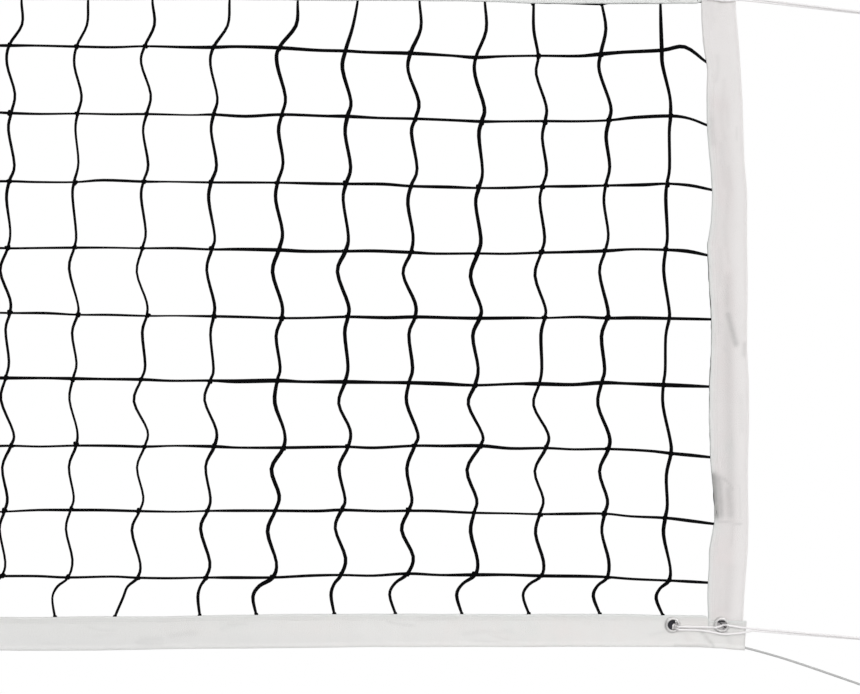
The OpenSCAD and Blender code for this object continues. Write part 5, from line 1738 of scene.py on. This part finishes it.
def build_floor(settings):
    """Pale floor under the posts that turns plain white further out."""
    mesh = bpy.data.meshes.new("floor")
    corners = [(x * FLOOR_HALF, y * FLOOR_HALF, 0) for x, y in ((-1, -1), (1, -1), (1, 1), (-1, 1))]
    mesh.from_pydata(corners, [], [(0, 1, 2, 3)])
    material, tree, shader = surface("floor_finish", Roughness=0.7, Specular_IOR_Level=0.2)
    place = object_place(tree)
    x, y, _ = split(place)
    beyond_x = highest(abs(x) - POST_X, 0)
    far = ramp(calc("SQRT", beyond_x**2 + abs(y) ** 2), FLOOR_NEAR, FLOOR_FAR)
    colour = settings.floor_colour
    finish(shader, Base_Color=blend(noise(place, 3, 4), colour, tinted(colour, 1.02)))
    white = result(tree, "Emission", WHITE, 1.0)
    shown = result(tree, "MixShader", far * highest(*rays(tree)), Value(shader.outputs[0]), white)
    plug(tree.nodes["Material Output"].inputs["Surface"], shown)
    mesh.materials.append(material)
    floor = bpy.data.objects.new("floor", mesh)
    bpy.context.scene.collection.objects.link(floor)


def build_world(scene):
    """White behind the object, softer as a light, darker at the sides and below where metal mirrors it."""
    world = bpy.data.worlds.new("studio")
    world.use_nodes = True
    tree = world.node_tree
    camera, glossy, transmission = rays(tree)
    x, _, z = split(result(tree, "TexCoord", output="Generated"))
    mirror = ramp(abs(x), 0.15, 0.8, 1, 0.28) * ramp(z, -0.4, 0.45, 0.3, 1)
    soft = glossy * (mirror - SOFT_LIGHT) + SOFT_LIGHT
    background = tree.nodes["Background"]
    plug(background.inputs["Color"], WHITE)
    plug(background.inputs["Strength"], soft + highest(camera, transmission) * (1 - soft))
    scene.world = world


def add_sun(name, direction, strength, angle):
    light = bpy.data.lights.new(name, "SUN")
    light.energy = strength
    light.angle = math.radians(angle)
    lamp = bpy.data.objects.new(name, light)
    lamp.rotation_euler = Vector(direction).to_track_quat("Z", "Y").to_euler()
    lamp.location = Vector(direction) * 6
    bpy.context.scene.collection.objects.link(lamp)


def place_camera(scene, settings):
    """Looks straight at the lower right corner of the net, which stands at a pixel of its own."""
    metres_per_pixel = settings.view_width / IMAGE_WIDTH
    x = BAND_END + (IMAGE_WIDTH / 2 - CORNER_PIXEL[0]) * metres_per_pixel
    z = BOTTOM_EDGE_Z + (CORNER_PIXEL[1] - IMAGE_HEIGHT / 2) * metres_per_pixel
    data = bpy.data.cameras.new("camera")
    data.lens = settings.lens
    data.sensor_width = SENSOR
    camera = bpy.data.objects.new("camera", data)
    camera.location = (x, -settings.view_width * settings.lens / SENSOR, z)
    camera.rotation_euler = (math.pi / 2, 0, 0)
    scene.collection.objects.link(camera)
    scene.camera = camera


# ---- Panel and registration ----

STEPS = (
    BuildStage, DressNetting, DressBands, DressEyelets, DressLashings, DressTies, DressLines, DressWinding,
    FinishPosts, FitFeet, FitWheels, FitLevers, FitWinch,
)
SETTINGS = {
    "volleynet_netting": NettingSettings,
    "volleynet_bands": BandSettings,
    "volleynet_cords": CordSettings,
    "volleynet_posts": PostSettings,
    "volleynet_stage": StageSettings,
}


class NetPanel(bpy.types.Panel):
    """Lists the steps that dress the net, with their sizes and colours"""

    bl_idname = "VIEW3D_PT_volleynet"
    bl_label = "Volleyball net"
    bl_space_type = "VIEW_3D"
    bl_region_type = "UI"
    bl_category = "Net"

    def draw(self, context):
        for name, group in SETTINGS.items():
            box = self.layout.box()
            for key in group.__annotations__:
                box.prop(getattr(context.scene, name), key)
        for step in STEPS:
            self.layout.operator(step.bl_idname)


def register():
    for kind in (*SETTINGS.values(), *STEPS, NetPanel):
        bpy.utils.register_class(kind)
    for name, group in SETTINGS.items():
        setattr(bpy.types.Scene, name, PointerProperty(type=group))


def unregister():
    for name in SETTINGS:
        delattr(bpy.types.Scene, name)
    for kind in reversed((*SETTINGS.values(), *STEPS, NetPanel)):
        bpy.utils.unregister_class(kind)


def main():
    register()
    for build in GROUPS:
        build()
    for step in STEPS:
        area, name = step.bl_idname.split(".")
        getattr(getattr(bpy.ops, area), name)()


if __name__ == "__main__":
    main()
